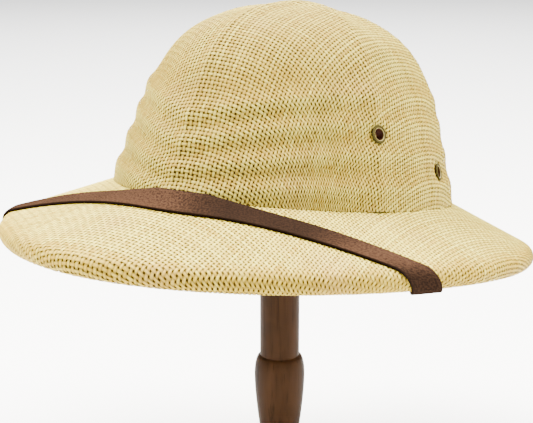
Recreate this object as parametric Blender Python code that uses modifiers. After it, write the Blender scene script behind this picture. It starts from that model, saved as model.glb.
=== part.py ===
"""Straw pith helmet on a turned wooden stand.

Row frame: metres, +Z up, origin under the middle of the stand's round foot.
The hat's front points along -Y and the hat is tipped back a little on the stand.
The hat's pieces are modelled around the middle of the crown's foot, and an empty that
carries them places the hat on the stand.
"""
import math
from typing import Callable, List, NamedTuple, Sequence, Tuple

import bmesh
import bpy
from mathutils import Matrix, Vector

MM = 0.001
Pair = Tuple[float, float]


class Pleat(NamedTuple):
    """A fold laid around the crown."""

    side_height: float              # of its crest above the crown's foot, at the sides
    front_dip: float                # how far the crest drops in a V at the front


class EyeletPlace(NamedTuple):
    """Where a ventilation eyelet sits in the crown's wall."""

    from_front: float               # angle around the hat
    height_share: float             # of the crown's height

# ---------------------------------------------------------------- driving dimensions
GAP = 0.3 * MM                      # clearance left between neighbouring pieces

CROWN_HALF_WIDTH = 90.0 * MM        # outside, at the crown's foot
CROWN_HALF_LENGTH = 113.5 * MM
CROWN_HEIGHT = 106.0 * MM
CROWN_WALL = 3.0 * MM
INNER_SHARES = (0.0, 0.22, 0.45, 0.66, 0.79, 0.88, 0.945, 0.985)   # rows of its inside
CROWN_TAPER = 0.319                 # share of its width that the wall loses on the way up
DOME_SQUARENESS = 7.16              # how late the wall turns over into the dome
DOME_ROUNDNESS = 1.78
APEX_SHIFT_Y = -2.2 * MM

SEAM_ANGLES = (0.0, 67.0, 113.0, 180.0, 247.0, 293.0)   # degrees from the front
SEAM_STEPS = (11, 8, 11, 11, 8, 11)                      # segments from each seam to the next
SEAM_RELIEF = 1.1 * MM
SEAM_WIDTH = 5.5 * MM
PANEL_FLATNESS = 0.9 * MM           # how far a panel's middle lies inside the round form
SEAMS_MEET_WIDTH = 0.35             # share of the foot's width at which they start to run out

PLEATS = (
    Pleat(side_height=12.2 * MM, front_dip=10.0 * MM),
    Pleat(side_height=29.4 * MM, front_dip=16.1 * MM),
    Pleat(side_height=45.6 * MM, front_dip=18.5 * MM),
    Pleat(side_height=59.4 * MM, front_dip=18.0 * MM),
)
PLEAT_DIP_REACH = math.radians(75.0)
PLEAT_DIP_SHARPNESS = 1.7
PLEAT_RELIEF = 1.5 * MM
PLEAT_FADE_ABOVE = 6.5 * MM
PLEAT_FADE_BELOW = 3.2 * MM
PLEAT_SOFTENS = math.radians(77.0)  # past this angle from the front the pleats are shallower
PLEAT_SOFTENS_OVER = math.radians(9.5)
PLEAT_SOFTENING = 0.45
PLEAT_ROWS = (0.34, 0.7, 1.0)       # rows from one crest to the next
DOME_ROWS = 11                      # rows from the last crest to the top
DOME_ROW_CROWDING = 2.2             # they crowd together towards the top

BUTTON_RADIUS = 14.0 * MM           # covered button on the crown's top
BUTTON_HEIGHT = 2.6 * MM
BUTTON_FULLNESS = 0.6

BRIM_HALF_WIDTH = 140.0 * MM
BRIM_FRONT_REACH = 182.5 * MM
BRIM_BACK_REACH = 169.5 * MM
BRIM_SIDE_DROP = 19.1 * MM
BRIM_FRONT_DROP = 24.3 * MM
BRIM_BACK_DROP = 22.1 * MM
LIP_RADIUS = 5.5 * MM
BRIM_ROOT_THICKNESS = 4.0 * MM
BRIM_TOP_ROWS = (0.0, 0.25, 0.5, 0.75)
BRIM_UNDER_ROWS = (0.35, 0.7)
LIP_ROWS = 8
OPENING_EDGE_RADIUS = 5.0 * MM      # rounds the brim's underside into the head's opening
OPENING_EDGE_ROWS = 2

STRAP_WIDTH = 15.0 * MM
STRAP_THICKNESS = 1.6 * MM
STRAP_GAP = 0.5 * MM                # it stands this far off the brim
STRAP_LIFT = 4.5 * MM               # its inner edge is propped up on the crown's foot
STRAP_LEAVES_RIGHT = math.radians(15.0)
STRAP_LEAVES_LEFT = math.radians(2.0)
STRAP_INNER_EDGE = 3.2 * MM         # from the crown's foot line, along the brim
STRAP_END_MARGIN = 1.0 * MM         # from its ends to the rounded edge of the head's opening
STRAP_LIFT_FADE = 41.0 * MM         # the lift dies out over this stretch of the strap
STRAP_FRONT_STEPS = 3
STRAP_LONG_STRIDE = 11.0 * MM
STRAP_SHORT_STRIDE = 2.6 * MM       # where it bends
STRAP_BEND_MARGIN = 3.0 * MM
STRAP_TURN_START = 45.0 * MM        # before the lip its rows begin to turn parallel to it
STRAP_TURN_END = 8.0 * MM
STRAP_PARTS_ACROSS = (-1.0, -0.33, 0.33, 1.0)

EYELETS_PER_SIDE = (
    EyeletPlace(from_front=math.radians(68.0), height_share=0.368),
    EyeletPlace(from_front=math.radians(103.0), height_share=0.185),
)
EYELET_OUTER_RADIUS = 5.4 * MM
EYELET_BARREL_RADIUS = 3.9 * MM
EYELET_BORE_RADIUS = 3.1 * MM
EYELET_HOLE_RADIUS = 4.25 * MM
EYELET_RIM_HEIGHT = 1.25 * MM
EYELET_RIM_ROUNDING = 0.5 * MM
EYELET_BARREL_LENGTH = 5.0 * MM
EYELET_CUTTER_LENGTH = 24.0 * MM
EYELET_SEGMENTS = 16

HAT_PITCH = math.radians(9.66)      # tipped back
HAT_SHIFT_Y = 7.5 * MM              # hat's middle, behind the post's axis
HAT_FOOT_HEIGHT = 205.0 * MM        # crown's foot above the floor

BASE_SEGMENTS = 48
BASE_EDGE = 3.0 * MM
POST_SEGMENTS = 24
BASE_RADIUS = 76.0 * MM
BASE_HEIGHT = 16.0 * MM
POST_TOP_RADIUS = 11.7 * MM
POST_BULGE_RADIUS = 15.05 * MM
POST_NECK_RADIUS = 12.1 * MM
POST_FOOT_RADIUS = 17.0 * MM
POST_FOOT_HEIGHT = 5.0 * MM
POST_SHOULDER_DROP = 99.0 * MM      # below the crown's foot
POST_BULGE_DROP = 111.3 * MM
POST_NECK_DROP = 144.0 * MM
HEAD_ROWS = 3                       # rows of the crown's inside that the head fills, from the top
HEAD_DEPTH = 14.0 * MM              # from the lowest point of its rim to its flat underside
HEAD_EDGE = 4.0 * MM                # height of its sloping lower edge
HEAD_NARROWING = 0.92               # of the underside against the rim
ROUND_EDGE_ANGLE = math.radians(40.0)

STRAW = (0.78, 0.66, 0.41, 1.0)
LEATHER = (0.12, 0.055, 0.035, 1.0)
BRASS = (0.42, 0.31, 0.14, 1.0)
WOOD = (0.10, 0.05, 0.025, 1.0)


# ---------------------------------------------------------------- small helpers
def new_collection(name: str) -> bpy.types.Collection:
    made = bpy.data.collections.new(name)
    bpy.context.scene.collection.children.link(made)
    return made


def material(name: str, colour: Sequence[float], roughness: float,
             metallic: float = 0.0) -> bpy.types.Material:
    made = bpy.data.materials.new(name)
    made.use_nodes = True
    shader = made.node_tree.nodes["Principled BSDF"]
    shader.inputs["Base Color"].default_value = colour
    shader.inputs["Roughness"].default_value = roughness
    shader.inputs["Metallic"].default_value = metallic
    made.diffuse_color = colour
    return made


class Workshop:
    """Makes objects in the hat's collection, with the empty that carries the hat."""

    def __init__(self) -> None:
        self.home = new_collection("pith_helmet_on_stand")
        self.cutters = new_collection("cutters")
        self.hat = bpy.data.objects.new("hat_seat", None)
        self.hat.matrix_world = hat_placing()
        self.home.objects.link(self.hat)

    def place(self, name: str, mesh: bpy.types.Mesh, finish: bpy.types.Material,
              on_hat: bool) -> bpy.types.Object:
        body = bpy.data.objects.new(name, mesh)
        self.home.objects.link(body)
        mesh.materials.append(finish)
        mesh.shade_smooth()
        mesh.set_sharp_from_angle(angle=ROUND_EDGE_ANGLE)
        if on_hat:
            body.parent = self.hat
        return body

    def place_cutter(self, name: str, mesh: bpy.types.Mesh) -> bpy.types.Object:
        cutter = bpy.data.objects.new(name, mesh)
        self.cutters.objects.link(cutter)
        cutter.parent = self.hat
        cutter.hide_render = True
        cutter.display_type = "WIRE"
        return cutter


def hat_placing() -> Matrix:
    moved = Matrix.Translation((0.0, HAT_SHIFT_Y, HAT_FOOT_HEIGHT))
    return moved @ Matrix.Rotation(-HAT_PITCH, 4, "X")


def loft(name: str, rings: Sequence[Sequence[Vector]], tips: Sequence[Vector] = (),
         closed_section: bool = False) -> bpy.types.Mesh:
    """Skin closed rings of equal size, from one tip point to another, or round into a tube ring."""
    form = bmesh.new()
    rows = [[form.verts.new(point) for point in ring] for ring in rings]
    size = len(rows[0])
    pairs = list(zip(rows, rows[1:] + rows[:1] if closed_section else rows[1:]))
    for low, high in pairs:
        for k in range(size):
            after = (k + 1) % size
            form.faces.new((low[k], low[after], high[after], high[k]))
    if tips:
        first, last = form.verts.new(tips[0]), form.verts.new(tips[1])
        for k in range(size):
            after = (k + 1) % size
            form.faces.new((rows[0][after], rows[0][k], first))
            form.faces.new((rows[-1][k], rows[-1][after], last))
    return finish_mesh(form, name)


def finish_mesh(form: bmesh.types.BMesh, name: str) -> bpy.types.Mesh:
    bmesh.ops.recalc_face_normals(form, faces=form.faces)
    mesh = bpy.data.meshes.new(name)
    form.to_mesh(mesh)
    form.free()
    return mesh


def profile_mesh(name: str, profile: Sequence[Pair], closed: bool) -> bpy.types.Mesh:
    """Edges through (radius, height) pairs, to be turned around Z."""
    form = bmesh.new()
    verts = [form.verts.new((radius, 0.0, height)) for radius, height in profile]
    for k in range(len(verts) if closed else len(verts) - 1):
        form.edges.new((verts[k], verts[(k + 1) % len(verts)]))
    mesh = bpy.data.meshes.new(name)
    form.to_mesh(mesh)
    form.free()
    return mesh


def turn_profile(body: bpy.types.Object, segments: int) -> None:
    screw = body.modifiers.new("turned", "SCREW")
    screw.steps = screw.render_steps = segments
    screw.use_merge_vertices = True
    screw.merge_threshold = 0.01 * MM


def cylinder_mesh(name: str, radius: float, depth: float, segments: int) -> bpy.types.Mesh:
    form = bmesh.new()
    bmesh.ops.create_cone(
        form, cap_ends=True, segments=segments, radius1=radius, radius2=radius, depth=depth)
    return finish_mesh(form, name)


# ---------------------------------------------------------------- crown
def ring_angles() -> List[float]:
    """Angles around the hat, with one on each seam."""
    angles = []
    stops = SEAM_ANGLES[1:] + (360.0,)
    for start, stop, steps in zip(SEAM_ANGLES, stops, SEAM_STEPS):
        angles += [math.radians(start + (stop - start) * k / steps) for k in range(steps)]
    return angles


def from_front(theta: float) -> float:
    """Smallest angle between a place and the hat's front."""
    return abs((theta + math.pi) % (2.0 * math.pi) - math.pi)


def dome_share(share: float) -> float:
    """Width left at a share of the crown's height."""
    turned = max(0.0, 1.0 - share ** DOME_SQUARENESS)
    return (1.0 - CROWN_TAPER * share) * turned ** (1.0 / DOME_ROUNDNESS)


def dome_point(theta: float, share: float, inset: float = 0.0) -> Vector:
    """Smooth crown form, or the one that lies ``inset`` inside it."""
    width = dome_share(share)
    return Vector((
        (CROWN_HALF_WIDTH - inset) * width * math.sin(theta),
        -(CROWN_HALF_LENGTH - inset) * width * math.cos(theta) + APEX_SHIFT_Y * share,
        GAP + (CROWN_HEIGHT - inset) * share))


def dome_normal(theta: float, share: float) -> Vector:
    step = 1e-4
    if share > 1.0 - 5.0 * step:
        return Vector((0.0, 0.0, 1.0))
    around = dome_point(theta + step, share) - dome_point(theta - step, share)
    up = dome_point(theta, min(1.0, share + step)) - dome_point(theta, max(0.0, share - step))
    return around.cross(up).normalized()


def pleat_crest(pleat: Pleat, theta: float) -> float:
    """Height of a pleat's crest: level at the sides, dipping in a V at the front."""
    dip = max(0.0, 1.0 - from_front(theta) / PLEAT_DIP_REACH) ** PLEAT_DIP_SHARPNESS
    return pleat.side_height - pleat.front_dip * dip


def pleat_relief(theta: float, height: float) -> float:
    """Folds laid like shingles: each rises slowly from above and falls off below its crest."""
    nearest = 0.0
    for pleat in PLEATS:
        below = pleat_crest(pleat, theta) - height
        fade = PLEAT_FADE_BELOW if below > 0.0 else PLEAT_FADE_ABOVE
        nearest = max(nearest, math.exp(-(below / fade) ** 2))
    behind = 1.0 / (1.0 + math.exp((PLEAT_SOFTENS - from_front(theta)) / PLEAT_SOFTENS_OVER))
    return PLEAT_RELIEF * (1.0 - PLEAT_SOFTENING * behind) * nearest


def seam_relief(theta: float, share: float) -> float:
    """Raised panel seams, with each panel a little flatter than the round form."""
    width = dome_share(share)
    turn = math.degrees(theta) % 360.0
    start = max(angle for angle in SEAM_ANGLES if angle <= turn)
    stop = min(angle for angle in SEAM_ANGLES + (360.0,) if angle > turn)
    mean_radius = 0.5 * width * (CROWN_HALF_WIDTH + CROWN_HALF_LENGTH)
    nearest = math.radians(min(turn - start, stop - turn)) * mean_radius
    ridge = SEAM_RELIEF * math.exp(-(nearest / SEAM_WIDTH) ** 2)
    across = (turn - start) / (stop - start)
    hollow = PANEL_FLATNESS * (0.5 - math.sin(math.pi * across) ** 2)
    return (ridge + hollow) * min(1.0, width / SEAMS_MEET_WIDTH)


def button_relief(theta: float, share: float) -> float:
    spot = dome_point(theta, share)
    reach = math.hypot(spot.x, spot.y - APEX_SHIFT_Y)
    return BUTTON_HEIGHT * max(0.0, 1.0 - (reach / BUTTON_RADIUS) ** 2) ** BUTTON_FULLNESS


def crown_point(theta: float, share: float) -> Vector:
    """Outside of the crown with its seams, pleats and covered button."""
    relief = seam_relief(theta, share) + pleat_relief(theta, share * CROWN_HEIGHT)
    relief += button_relief(theta, share)
    return dome_point(theta, share) + dome_normal(theta, share) * relief


def crown_rows(theta: float) -> List[float]:
    """Shares of the height for the crown's rows, which follow the pleats' crests."""
    rows = [0.0]
    for pleat in PLEATS:
        low, crest = rows[-1], pleat_crest(pleat, theta) / CROWN_HEIGHT
        rows += [low + (crest - low) * part for part in PLEAT_ROWS]
    low = rows[-1]
    for k in range(1, DOME_ROWS):
        rows.append(1.0 - (1.0 - low) * (1.0 - k / DOME_ROWS) ** DOME_ROW_CROWDING)
    return rows


def build_crown(shop: Workshop, finish: bpy.types.Material) -> None:
    angles = ring_angles()
    rings = [[dome_point(theta, share, CROWN_WALL) for theta in angles] for share in reversed(INNER_SHARES)]
    columns = [[crown_point(theta, share) for share in crown_rows(theta)] for theta in angles]
    rings += [list(row) for row in zip(*columns)]
    tips = (dome_point(0.0, 1.0, CROWN_WALL), crown_point(0.0, 1.0))
    crown = shop.place("crown", loft("crown", rings, tips), finish, on_hat=True)
    for number, place in enumerate(eyelet_places(), start=1):
        mesh = cylinder_mesh("eyelet_hole", EYELET_HOLE_RADIUS, EYELET_CUTTER_LENGTH, EYELET_SEGMENTS)
        cutter = shop.place_cutter("eyelet_cutter_%d" % number, mesh)
        cutter.matrix_local = eyelet_placing(place)
        cut = crown.modifiers.new("eyelet hole", "BOOLEAN")
        cut.operation = "DIFFERENCE"
        cut.solver = "EXACT"
        cut.object = cutter


# ---------------------------------------------------------------- eyelets
def eyelet_places() -> List[EyeletPlace]:
    """The eyelets of both sides of the hat."""
    mirrored = [place._replace(from_front=-place.from_front) for place in EYELETS_PER_SIDE]
    return list(EYELETS_PER_SIDE) + mirrored


def eyelet_placing(place: EyeletPlace) -> Matrix:
    """Stands an eyelet's rim on the highest cloth beneath it, with +Z out of the wall."""
    theta, share = place
    outward = dome_normal(theta, share)
    along = Vector((0.0, 0.0, 1.0)).cross(outward).normalized()
    upward = outward.cross(along)
    middle = dome_point(theta, share)
    highest = 0.0
    for step in range(EYELET_SEGMENTS):
        turn = 2.0 * math.pi * step / EYELET_SEGMENTS
        beside = theta + EYELET_OUTER_RADIUS * math.cos(turn) / CROWN_HALF_WIDTH
        above = share + EYELET_OUTER_RADIUS * math.sin(turn) / CROWN_HEIGHT
        highest = max(highest, (crown_point(beside, above) - middle).dot(outward))
    turned = Matrix((along, upward, outward)).transposed().to_4x4()
    return Matrix.Translation(middle + outward * (highest + GAP)) @ turned


def build_eyelet(shop: Workshop, number: int, place: EyeletPlace, finish: bpy.types.Material) -> None:
    """Turned rim with a barrel through the wall."""
    rim, bore, top = EYELET_OUTER_RADIUS, EYELET_BORE_RADIUS, EYELET_RIM_HEIGHT
    section = [
        (0.5 * (rim + bore), top),
        (rim - EYELET_RIM_ROUNDING, 0.85 * top),
        (rim, 0.35 * top),
        (rim, 0.0),
        (EYELET_BARREL_RADIUS, 0.0),
        (EYELET_BARREL_RADIUS, -EYELET_BARREL_LENGTH),
        (bore, -EYELET_BARREL_LENGTH),
        (bore, 0.6 * top)]
    mesh = profile_mesh("eyelet", section, closed=True)
    eyelet = shop.place("eyelet_%d" % number, mesh, finish, on_hat=True)
    eyelet.matrix_local = eyelet_placing(place)
    turn_profile(eyelet, EYELET_SEGMENTS)


# ---------------------------------------------------------------- brim
class BrimSection:
    """One upright cut through the brim: sloping top, round lip, underside and opening edge.

    In the cut, ``x`` runs outwards from the crown's foot line. The skin is a row of straight
    runs and arcs.
    """

    def __init__(self, theta: float) -> None:
        c, s = math.cos(theta), math.sin(theta)
        reach_y = BRIM_FRONT_REACH if c > 0.0 else BRIM_BACK_REACH
        drop_y = BRIM_FRONT_DROP if c > 0.0 else BRIM_BACK_DROP
        drop = BRIM_SIDE_DROP + (drop_y - BRIM_SIDE_DROP) * c * c
        self.root = Vector((CROWN_HALF_WIDTH * s, -CROWN_HALF_LENGTH * c))
        span = Vector((BRIM_HALF_WIDTH * s, -reach_y * c)) - self.root
        self.out = span.normalized()

        inner = Vector(((CROWN_HALF_WIDTH - CROWN_WALL) * s, -(CROWN_HALF_LENGTH - CROWN_WALL) * c))
        square = Vector((CROWN_HALF_LENGTH * s, -CROWN_HALF_WIDTH * c))
        narrowing = CROWN_TAPER / (CROWN_HEIGHT - CROWN_WALL)
        lean = math.atan(narrowing * inner.dot(square) / self.out.dot(square))
        self.seat_x = (inner - self.root).dot(self.out)
        edge_x = self.seat_x + BRIM_ROOT_THICKNESS * math.tan(lean)

        lip_x, lip_z = span.length - LIP_RADIUS, -drop - LIP_RADIUS
        self.top_angle, self.top_run = self.tangent_to_lip(lip_x, -lip_z, -1.0)
        under_angle, under_run = self.tangent_to_lip(lip_x - edge_x, -lip_z - BRIM_ROOT_THICKNESS, 1.0)
        edge_turn = 0.5 * math.pi - under_angle - lean
        edge_cut = OPENING_EDGE_RADIUS * math.tan(0.5 * edge_turn)
        self.lip_run = LIP_RADIUS * (math.pi + under_angle - self.top_angle)
        self.under_run = under_run - edge_cut
        self.edge_run = OPENING_EDGE_RADIUS * edge_turn
        self.under_start = self.top_run + self.lip_run
        self.edge_start = self.under_start + self.under_run

    @staticmethod
    def tangent_to_lip(across: float, down: float, side: float) -> Pair:
        """Slope and length of a straight line to the lip's circle, whose middle is given."""
        reach = math.hypot(across, down)
        slope = math.atan2(down, across) + side * math.asin(LIP_RADIUS / reach)
        return slope, math.sqrt(reach ** 2 - LIP_RADIUS ** 2)

    def place(self, x: float, z: float) -> Vector:
        flat = self.root + self.out * x
        return Vector((flat.x, flat.y, z))

    def skin(self, along: float, off: float = 0.0) -> Vector:
        """A point ``along`` the skin from the crown's foot over the lip, ``off`` the surface."""
        arcs = ((self.top_run, None), (self.lip_run, LIP_RADIUS), (self.under_run, None),
                (self.edge_run, OPENING_EDGE_RADIUS))
        x, z, turn, left = 0.0, 0.0, self.top_angle, along
        for run, radius in arcs:
            step = min(left, run)
            if radius is None:
                x += step * math.cos(turn)
                z -= step * math.sin(turn)
            else:
                swung = turn + step / radius
                x += radius * (math.sin(swung) - math.sin(turn))
                z += radius * (math.cos(swung) - math.cos(turn))
                turn = swung
            left -= step
            if left <= 0.0:
                break
        return self.place(x + off * math.sin(turn), z + off * math.cos(turn))

    def flat_ahead(self, along: float, margin: float) -> float:
        """How far the skin runs on before it bends, counted to a margin before the bend."""
        if along < self.top_run - margin:
            return self.top_run - margin - along
        if along < self.under_start + margin:
            return 0.0
        return self.edge_start - along


def brim_column(theta: float) -> List[Vector]:
    """Section points: the seat under the crown's wall, the top, the lip and the underside."""
    cut = BrimSection(theta)
    column = [cut.place(cut.seat_x, 0.0)]
    column += [cut.skin(cut.top_run * part) for part in BRIM_TOP_ROWS]
    column += [cut.skin(cut.top_run + cut.lip_run * k / LIP_ROWS) for k in range(LIP_ROWS + 1)]
    column += [cut.skin(cut.under_start + cut.under_run * part) for part in BRIM_UNDER_ROWS]
    for k in range(OPENING_EDGE_ROWS + 1):
        column.append(cut.skin(cut.edge_start + cut.edge_run * k / OPENING_EDGE_ROWS))
    return column


def build_brim(shop: Workshop, finish: bpy.types.Material) -> None:
    rings = [list(row) for row in zip(*[brim_column(theta) for theta in ring_angles()])]
    shop.place("brim", loft("brim", rings, closed_section=True), finish, on_hat=True)


# ---------------------------------------------------------------- chin strap
class Ribbon:
    """A place on the brim's skin and a heading, walked straight ahead like a flat ribbon.

    ``side`` is 1 for the half that runs to the hat's right-hand side (+X) and -1 for the other.
    """

    STEP = 0.5 * MM

    def __init__(self, theta: float, along: float, side: float, heading: Vector = None) -> None:
        self.theta, self.along, self.side = theta, along, side
        self.heading = self.axes()[0].normalized() * side if heading is None else heading
        self.lift = 1.0

    def point(self, off: float) -> Vector:
        return BrimSection(self.theta).skin(self.along, off)

    def axes(self) -> Tuple[Vector, Vector]:
        """Directions on the skin: around the hat by one radian, and away from the crown."""
        turn, slide = 1e-3, 0.05 * MM
        before, after = BrimSection(self.theta - turn), BrimSection(self.theta + turn)
        here = BrimSection(self.theta)
        around = after.skin(self.along) - before.skin(self.along)
        out = here.skin(self.along + slide) - here.skin(self.along - slide)
        return around / (2.0 * turn), out / (2.0 * slide)

    def walk(self, length: float) -> "Ribbon":
        steps = max(1, math.ceil(length / self.STEP))
        for _ in range(steps):
            around, out = self.axes()
            normal = out.cross(around).normalized()
            self.heading = (self.heading - normal * self.heading.dot(normal)).normalized()
            aa, ao, oo = around.dot(around), around.dot(out), out.dot(out)
            ah, oh = around.dot(self.heading), out.dot(self.heading)
            share = (length / steps) / (aa * oo - ao * ao)
            self.theta += (oo * ah - ao * oh) * share
            self.along += (aa * oh - ao * ah) * share
        return self

    def ahead(self, length: float, lift: float) -> "Ribbon":
        """A new station further on."""
        station = Ribbon(self.theta, self.along, self.side, self.heading.copy()).walk(length)
        station.lift = lift
        return station

    def sideways(self, length: float, direction: Vector) -> "Ribbon":
        """The place beside this one; a negative length lies towards the crown."""
        heading = direction * math.copysign(1.0, length)
        return Ribbon(self.theta, self.along, self.side, heading).walk(abs(length))

    def across(self) -> List[Vector]:
        """The strap's lower face here, from its inner edge out, in a row that turns with the lip."""
        around, out = self.axes()
        square = self.heading.cross(out.cross(around).normalized()) * self.side
        before_lip = BrimSection(self.theta).top_run - self.along
        turned = (STRAP_TURN_START - before_lip) / (STRAP_TURN_START - STRAP_TURN_END)
        level = around.normalized() * -self.side
        row = square.lerp(level, min(1.0, max(0.0, turned))).normalized()
        reach = 0.5 * STRAP_WIDTH / row.dot(square)
        face = []
        for part in STRAP_PARTS_ACROSS:
            raised = STRAP_GAP + STRAP_LIFT * self.lift ** 2 * (0.5 - 0.5 * part) ** 1.5
            face.append(self.sideways(part * reach, row).point(raised))
        return face


def strap_side(side: float, leaves: float) -> List[Ribbon]:
    """Stations from the front's middle, round the lip, to the edge of the head's opening."""
    middle = STRAP_INNER_EDGE + 0.5 * STRAP_WIDTH
    hugging = [side * leaves * k / STRAP_FRONT_STEPS for k in range(STRAP_FRONT_STEPS + 1)]
    stations = [Ribbon(theta, middle, side) for theta in hugging]
    travelled = 0.0
    last, cut = stations[-1], BrimSection(stations[-1].theta)
    while last.along < cut.edge_start - STRAP_END_MARGIN:
        room = cut.flat_ahead(last.along, STRAP_BEND_MARGIN)
        stride = min(STRAP_LONG_STRIDE, max(STRAP_SHORT_STRIDE, room))
        travelled += stride
        last = last.ahead(stride, max(0.0, 1.0 - travelled / STRAP_LIFT_FADE))
        cut = BrimSection(last.theta)
        stations.append(last)
    return stations


def build_strap(shop: Workshop, finish: bpy.types.Material) -> None:
    """An open ribbon over the brim, thickened outwards."""
    left, right = strap_side(-1.0, STRAP_LEAVES_LEFT), strap_side(1.0, STRAP_LEAVES_RIGHT)
    form = bmesh.new()
    rows = [[form.verts.new(point) for point in station.across()] for station in left[:0:-1] + right]
    for low, high in zip(rows, rows[1:]):
        for k in range(len(low) - 1):
            form.faces.new((low[k], low[k + 1], high[k + 1], high[k]))
    mesh = bpy.data.meshes.new("chin_strap")
    form.to_mesh(mesh)
    form.free()
    strap = shop.place("chin_strap", mesh, finish, on_hat=True)
    thick = strap.modifiers.new("thickness", "SOLIDIFY")
    thick.thickness = STRAP_THICKNESS
    thick.offset = 1.0


# ---------------------------------------------------------------- stand
def head_ring(share: float) -> List[Vector]:
    return [dome_point(theta, share, CROWN_WALL + GAP) for theta in ring_angles()]


def head_underside() -> float:
    """Height of the head's flat underside above the floor."""
    placing = hat_placing()
    rim = [placing @ point for point in head_ring(INNER_SHARES[-HEAD_ROWS])]
    return min(point.z for point in rim) - HEAD_DEPTH


def build_base(shop: Workshop, finish: bpy.types.Material) -> None:
    mesh = cylinder_mesh("stand_base", BASE_RADIUS, BASE_HEIGHT, BASE_SEGMENTS)
    base = shop.place("stand_base", mesh, finish, on_hat=False)
    base.location.z = 0.5 * BASE_HEIGHT
    rounded = base.modifiers.new("rounded edge", "BEVEL")
    rounded.width = BASE_EDGE
    rounded.segments = 2
    rounded.limit_method = "ANGLE"


def swell(start: Pair, stop: Pair, steps: int, ease: Callable[[float], float]) -> List[Pair]:
    """(radius, height) pairs on the way from one pair to the next, without the first."""
    run = []
    for k in range(1, steps + 1):
        t = k / steps
        run.append((start[0] + (stop[0] - start[0]) * ease(t), start[1] + (stop[1] - start[1]) * t))
    return run


def build_post(shop: Workshop, finish: bpy.types.Material) -> None:
    """Turned post: straight shaft, round shoulder, long taper and a flared foot."""
    top, foot = head_underside() - GAP, BASE_HEIGHT + GAP
    shoulder = (POST_TOP_RADIUS, HAT_FOOT_HEIGHT - POST_SHOULDER_DROP)
    bulge = (POST_BULGE_RADIUS, HAT_FOOT_HEIGHT - POST_BULGE_DROP)
    neck = (POST_NECK_RADIUS, HAT_FOOT_HEIGHT - POST_NECK_DROP)
    plinth = (POST_FOOT_RADIUS, foot + POST_FOOT_HEIGHT)
    profile = [(0.0, top), (POST_TOP_RADIUS, top), shoulder]
    profile += swell(shoulder, bulge, 5, lambda t: math.sqrt(1.0 - (1.0 - t) ** 2))
    profile += swell(bulge, neck, 5, lambda t: t ** 1.6)
    profile += swell(neck, plinth, 6, lambda t: t * t * (3.0 - 2.0 * t))
    profile += [(POST_FOOT_RADIUS, foot), (0.0, foot)]
    mesh = profile_mesh("stand_post", profile, closed=False)
    post = shop.place("stand_post", mesh, finish, on_hat=False)
    turn_profile(post, POST_SEGMENTS)


def build_head(shop: Workshop, finish: bpy.types.Material) -> None:
    """Plain block under the crown's top, shaped to it above and level below."""
    bottom, to_hat = head_underside(), hat_placing().inverted()
    rim = [hat_placing() @ point for point in head_ring(INNER_SHARES[-HEAD_ROWS])]
    low = [to_hat @ Vector((p.x * HEAD_NARROWING, p.y * HEAD_NARROWING, bottom)) for p in rim]
    edge = [to_hat @ Vector((p.x, p.y, bottom + HEAD_EDGE)) for p in rim]
    rings = [low, edge] + [head_ring(share) for share in INNER_SHARES[-HEAD_ROWS:]]
    tips = (to_hat @ Vector((0.0, 0.0, bottom)), dome_point(0.0, 1.0, CROWN_WALL + GAP))
    shop.place("stand_head", loft("stand_head", rings, tips), finish, on_hat=True)


# ---------------------------------------------------------------- whole object
def main() -> None:
    for old in list(bpy.data.objects):
        bpy.data.objects.remove(old)
    shop = Workshop()
    straw = material("straw", STRAW, 0.75)
    leather = material("strap_leather", LEATHER, 0.45)
    brass = material("aged_brass", BRASS, 0.35, 0.9)
    wood = material("dark_wood", WOOD, 0.55)
    build_base(shop, wood)
    build_post(shop, wood)
    build_head(shop, wood)
    build_crown(shop, straw)
    build_brim(shop, straw)
    build_strap(shop, leather)
    for number, place in enumerate(eyelet_places(), start=1):
        build_eyelet(shop, number, place, brass)


main()
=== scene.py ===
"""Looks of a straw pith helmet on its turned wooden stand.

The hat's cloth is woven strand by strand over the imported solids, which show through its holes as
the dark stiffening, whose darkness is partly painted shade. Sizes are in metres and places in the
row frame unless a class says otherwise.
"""
from __future__ import annotations

import logging
import math
from dataclasses import dataclass
from enum import Enum
from typing import Callable, ClassVar, Dict, List, NamedTuple, Optional, Sequence, Tuple, Union

import bpy
import numpy as np
from mathutils import Matrix, Vector

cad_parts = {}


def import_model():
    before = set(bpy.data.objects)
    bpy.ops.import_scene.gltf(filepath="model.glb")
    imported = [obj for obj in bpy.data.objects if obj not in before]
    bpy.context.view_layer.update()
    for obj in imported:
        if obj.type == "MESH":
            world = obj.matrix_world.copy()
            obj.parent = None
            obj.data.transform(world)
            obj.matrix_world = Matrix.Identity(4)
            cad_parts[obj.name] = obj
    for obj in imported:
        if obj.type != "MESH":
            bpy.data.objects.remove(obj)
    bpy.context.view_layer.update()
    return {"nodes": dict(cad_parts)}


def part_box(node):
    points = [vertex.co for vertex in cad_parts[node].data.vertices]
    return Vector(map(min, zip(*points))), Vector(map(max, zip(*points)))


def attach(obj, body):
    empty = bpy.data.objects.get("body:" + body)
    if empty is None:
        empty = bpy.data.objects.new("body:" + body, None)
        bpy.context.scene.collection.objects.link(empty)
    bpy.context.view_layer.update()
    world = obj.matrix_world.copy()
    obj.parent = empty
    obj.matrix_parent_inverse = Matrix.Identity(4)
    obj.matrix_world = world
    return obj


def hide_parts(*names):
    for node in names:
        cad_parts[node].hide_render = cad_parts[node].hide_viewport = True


MM = 0.001
BODY = "root"
Array = np.ndarray
Amount = Union[Array, float]
Colour = Tuple[float, float, float]
Pair = Tuple[float, float]
Material = bpy.types.Material
Object = bpy.types.Object
log = logging.getLogger("pith_helmet")


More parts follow.
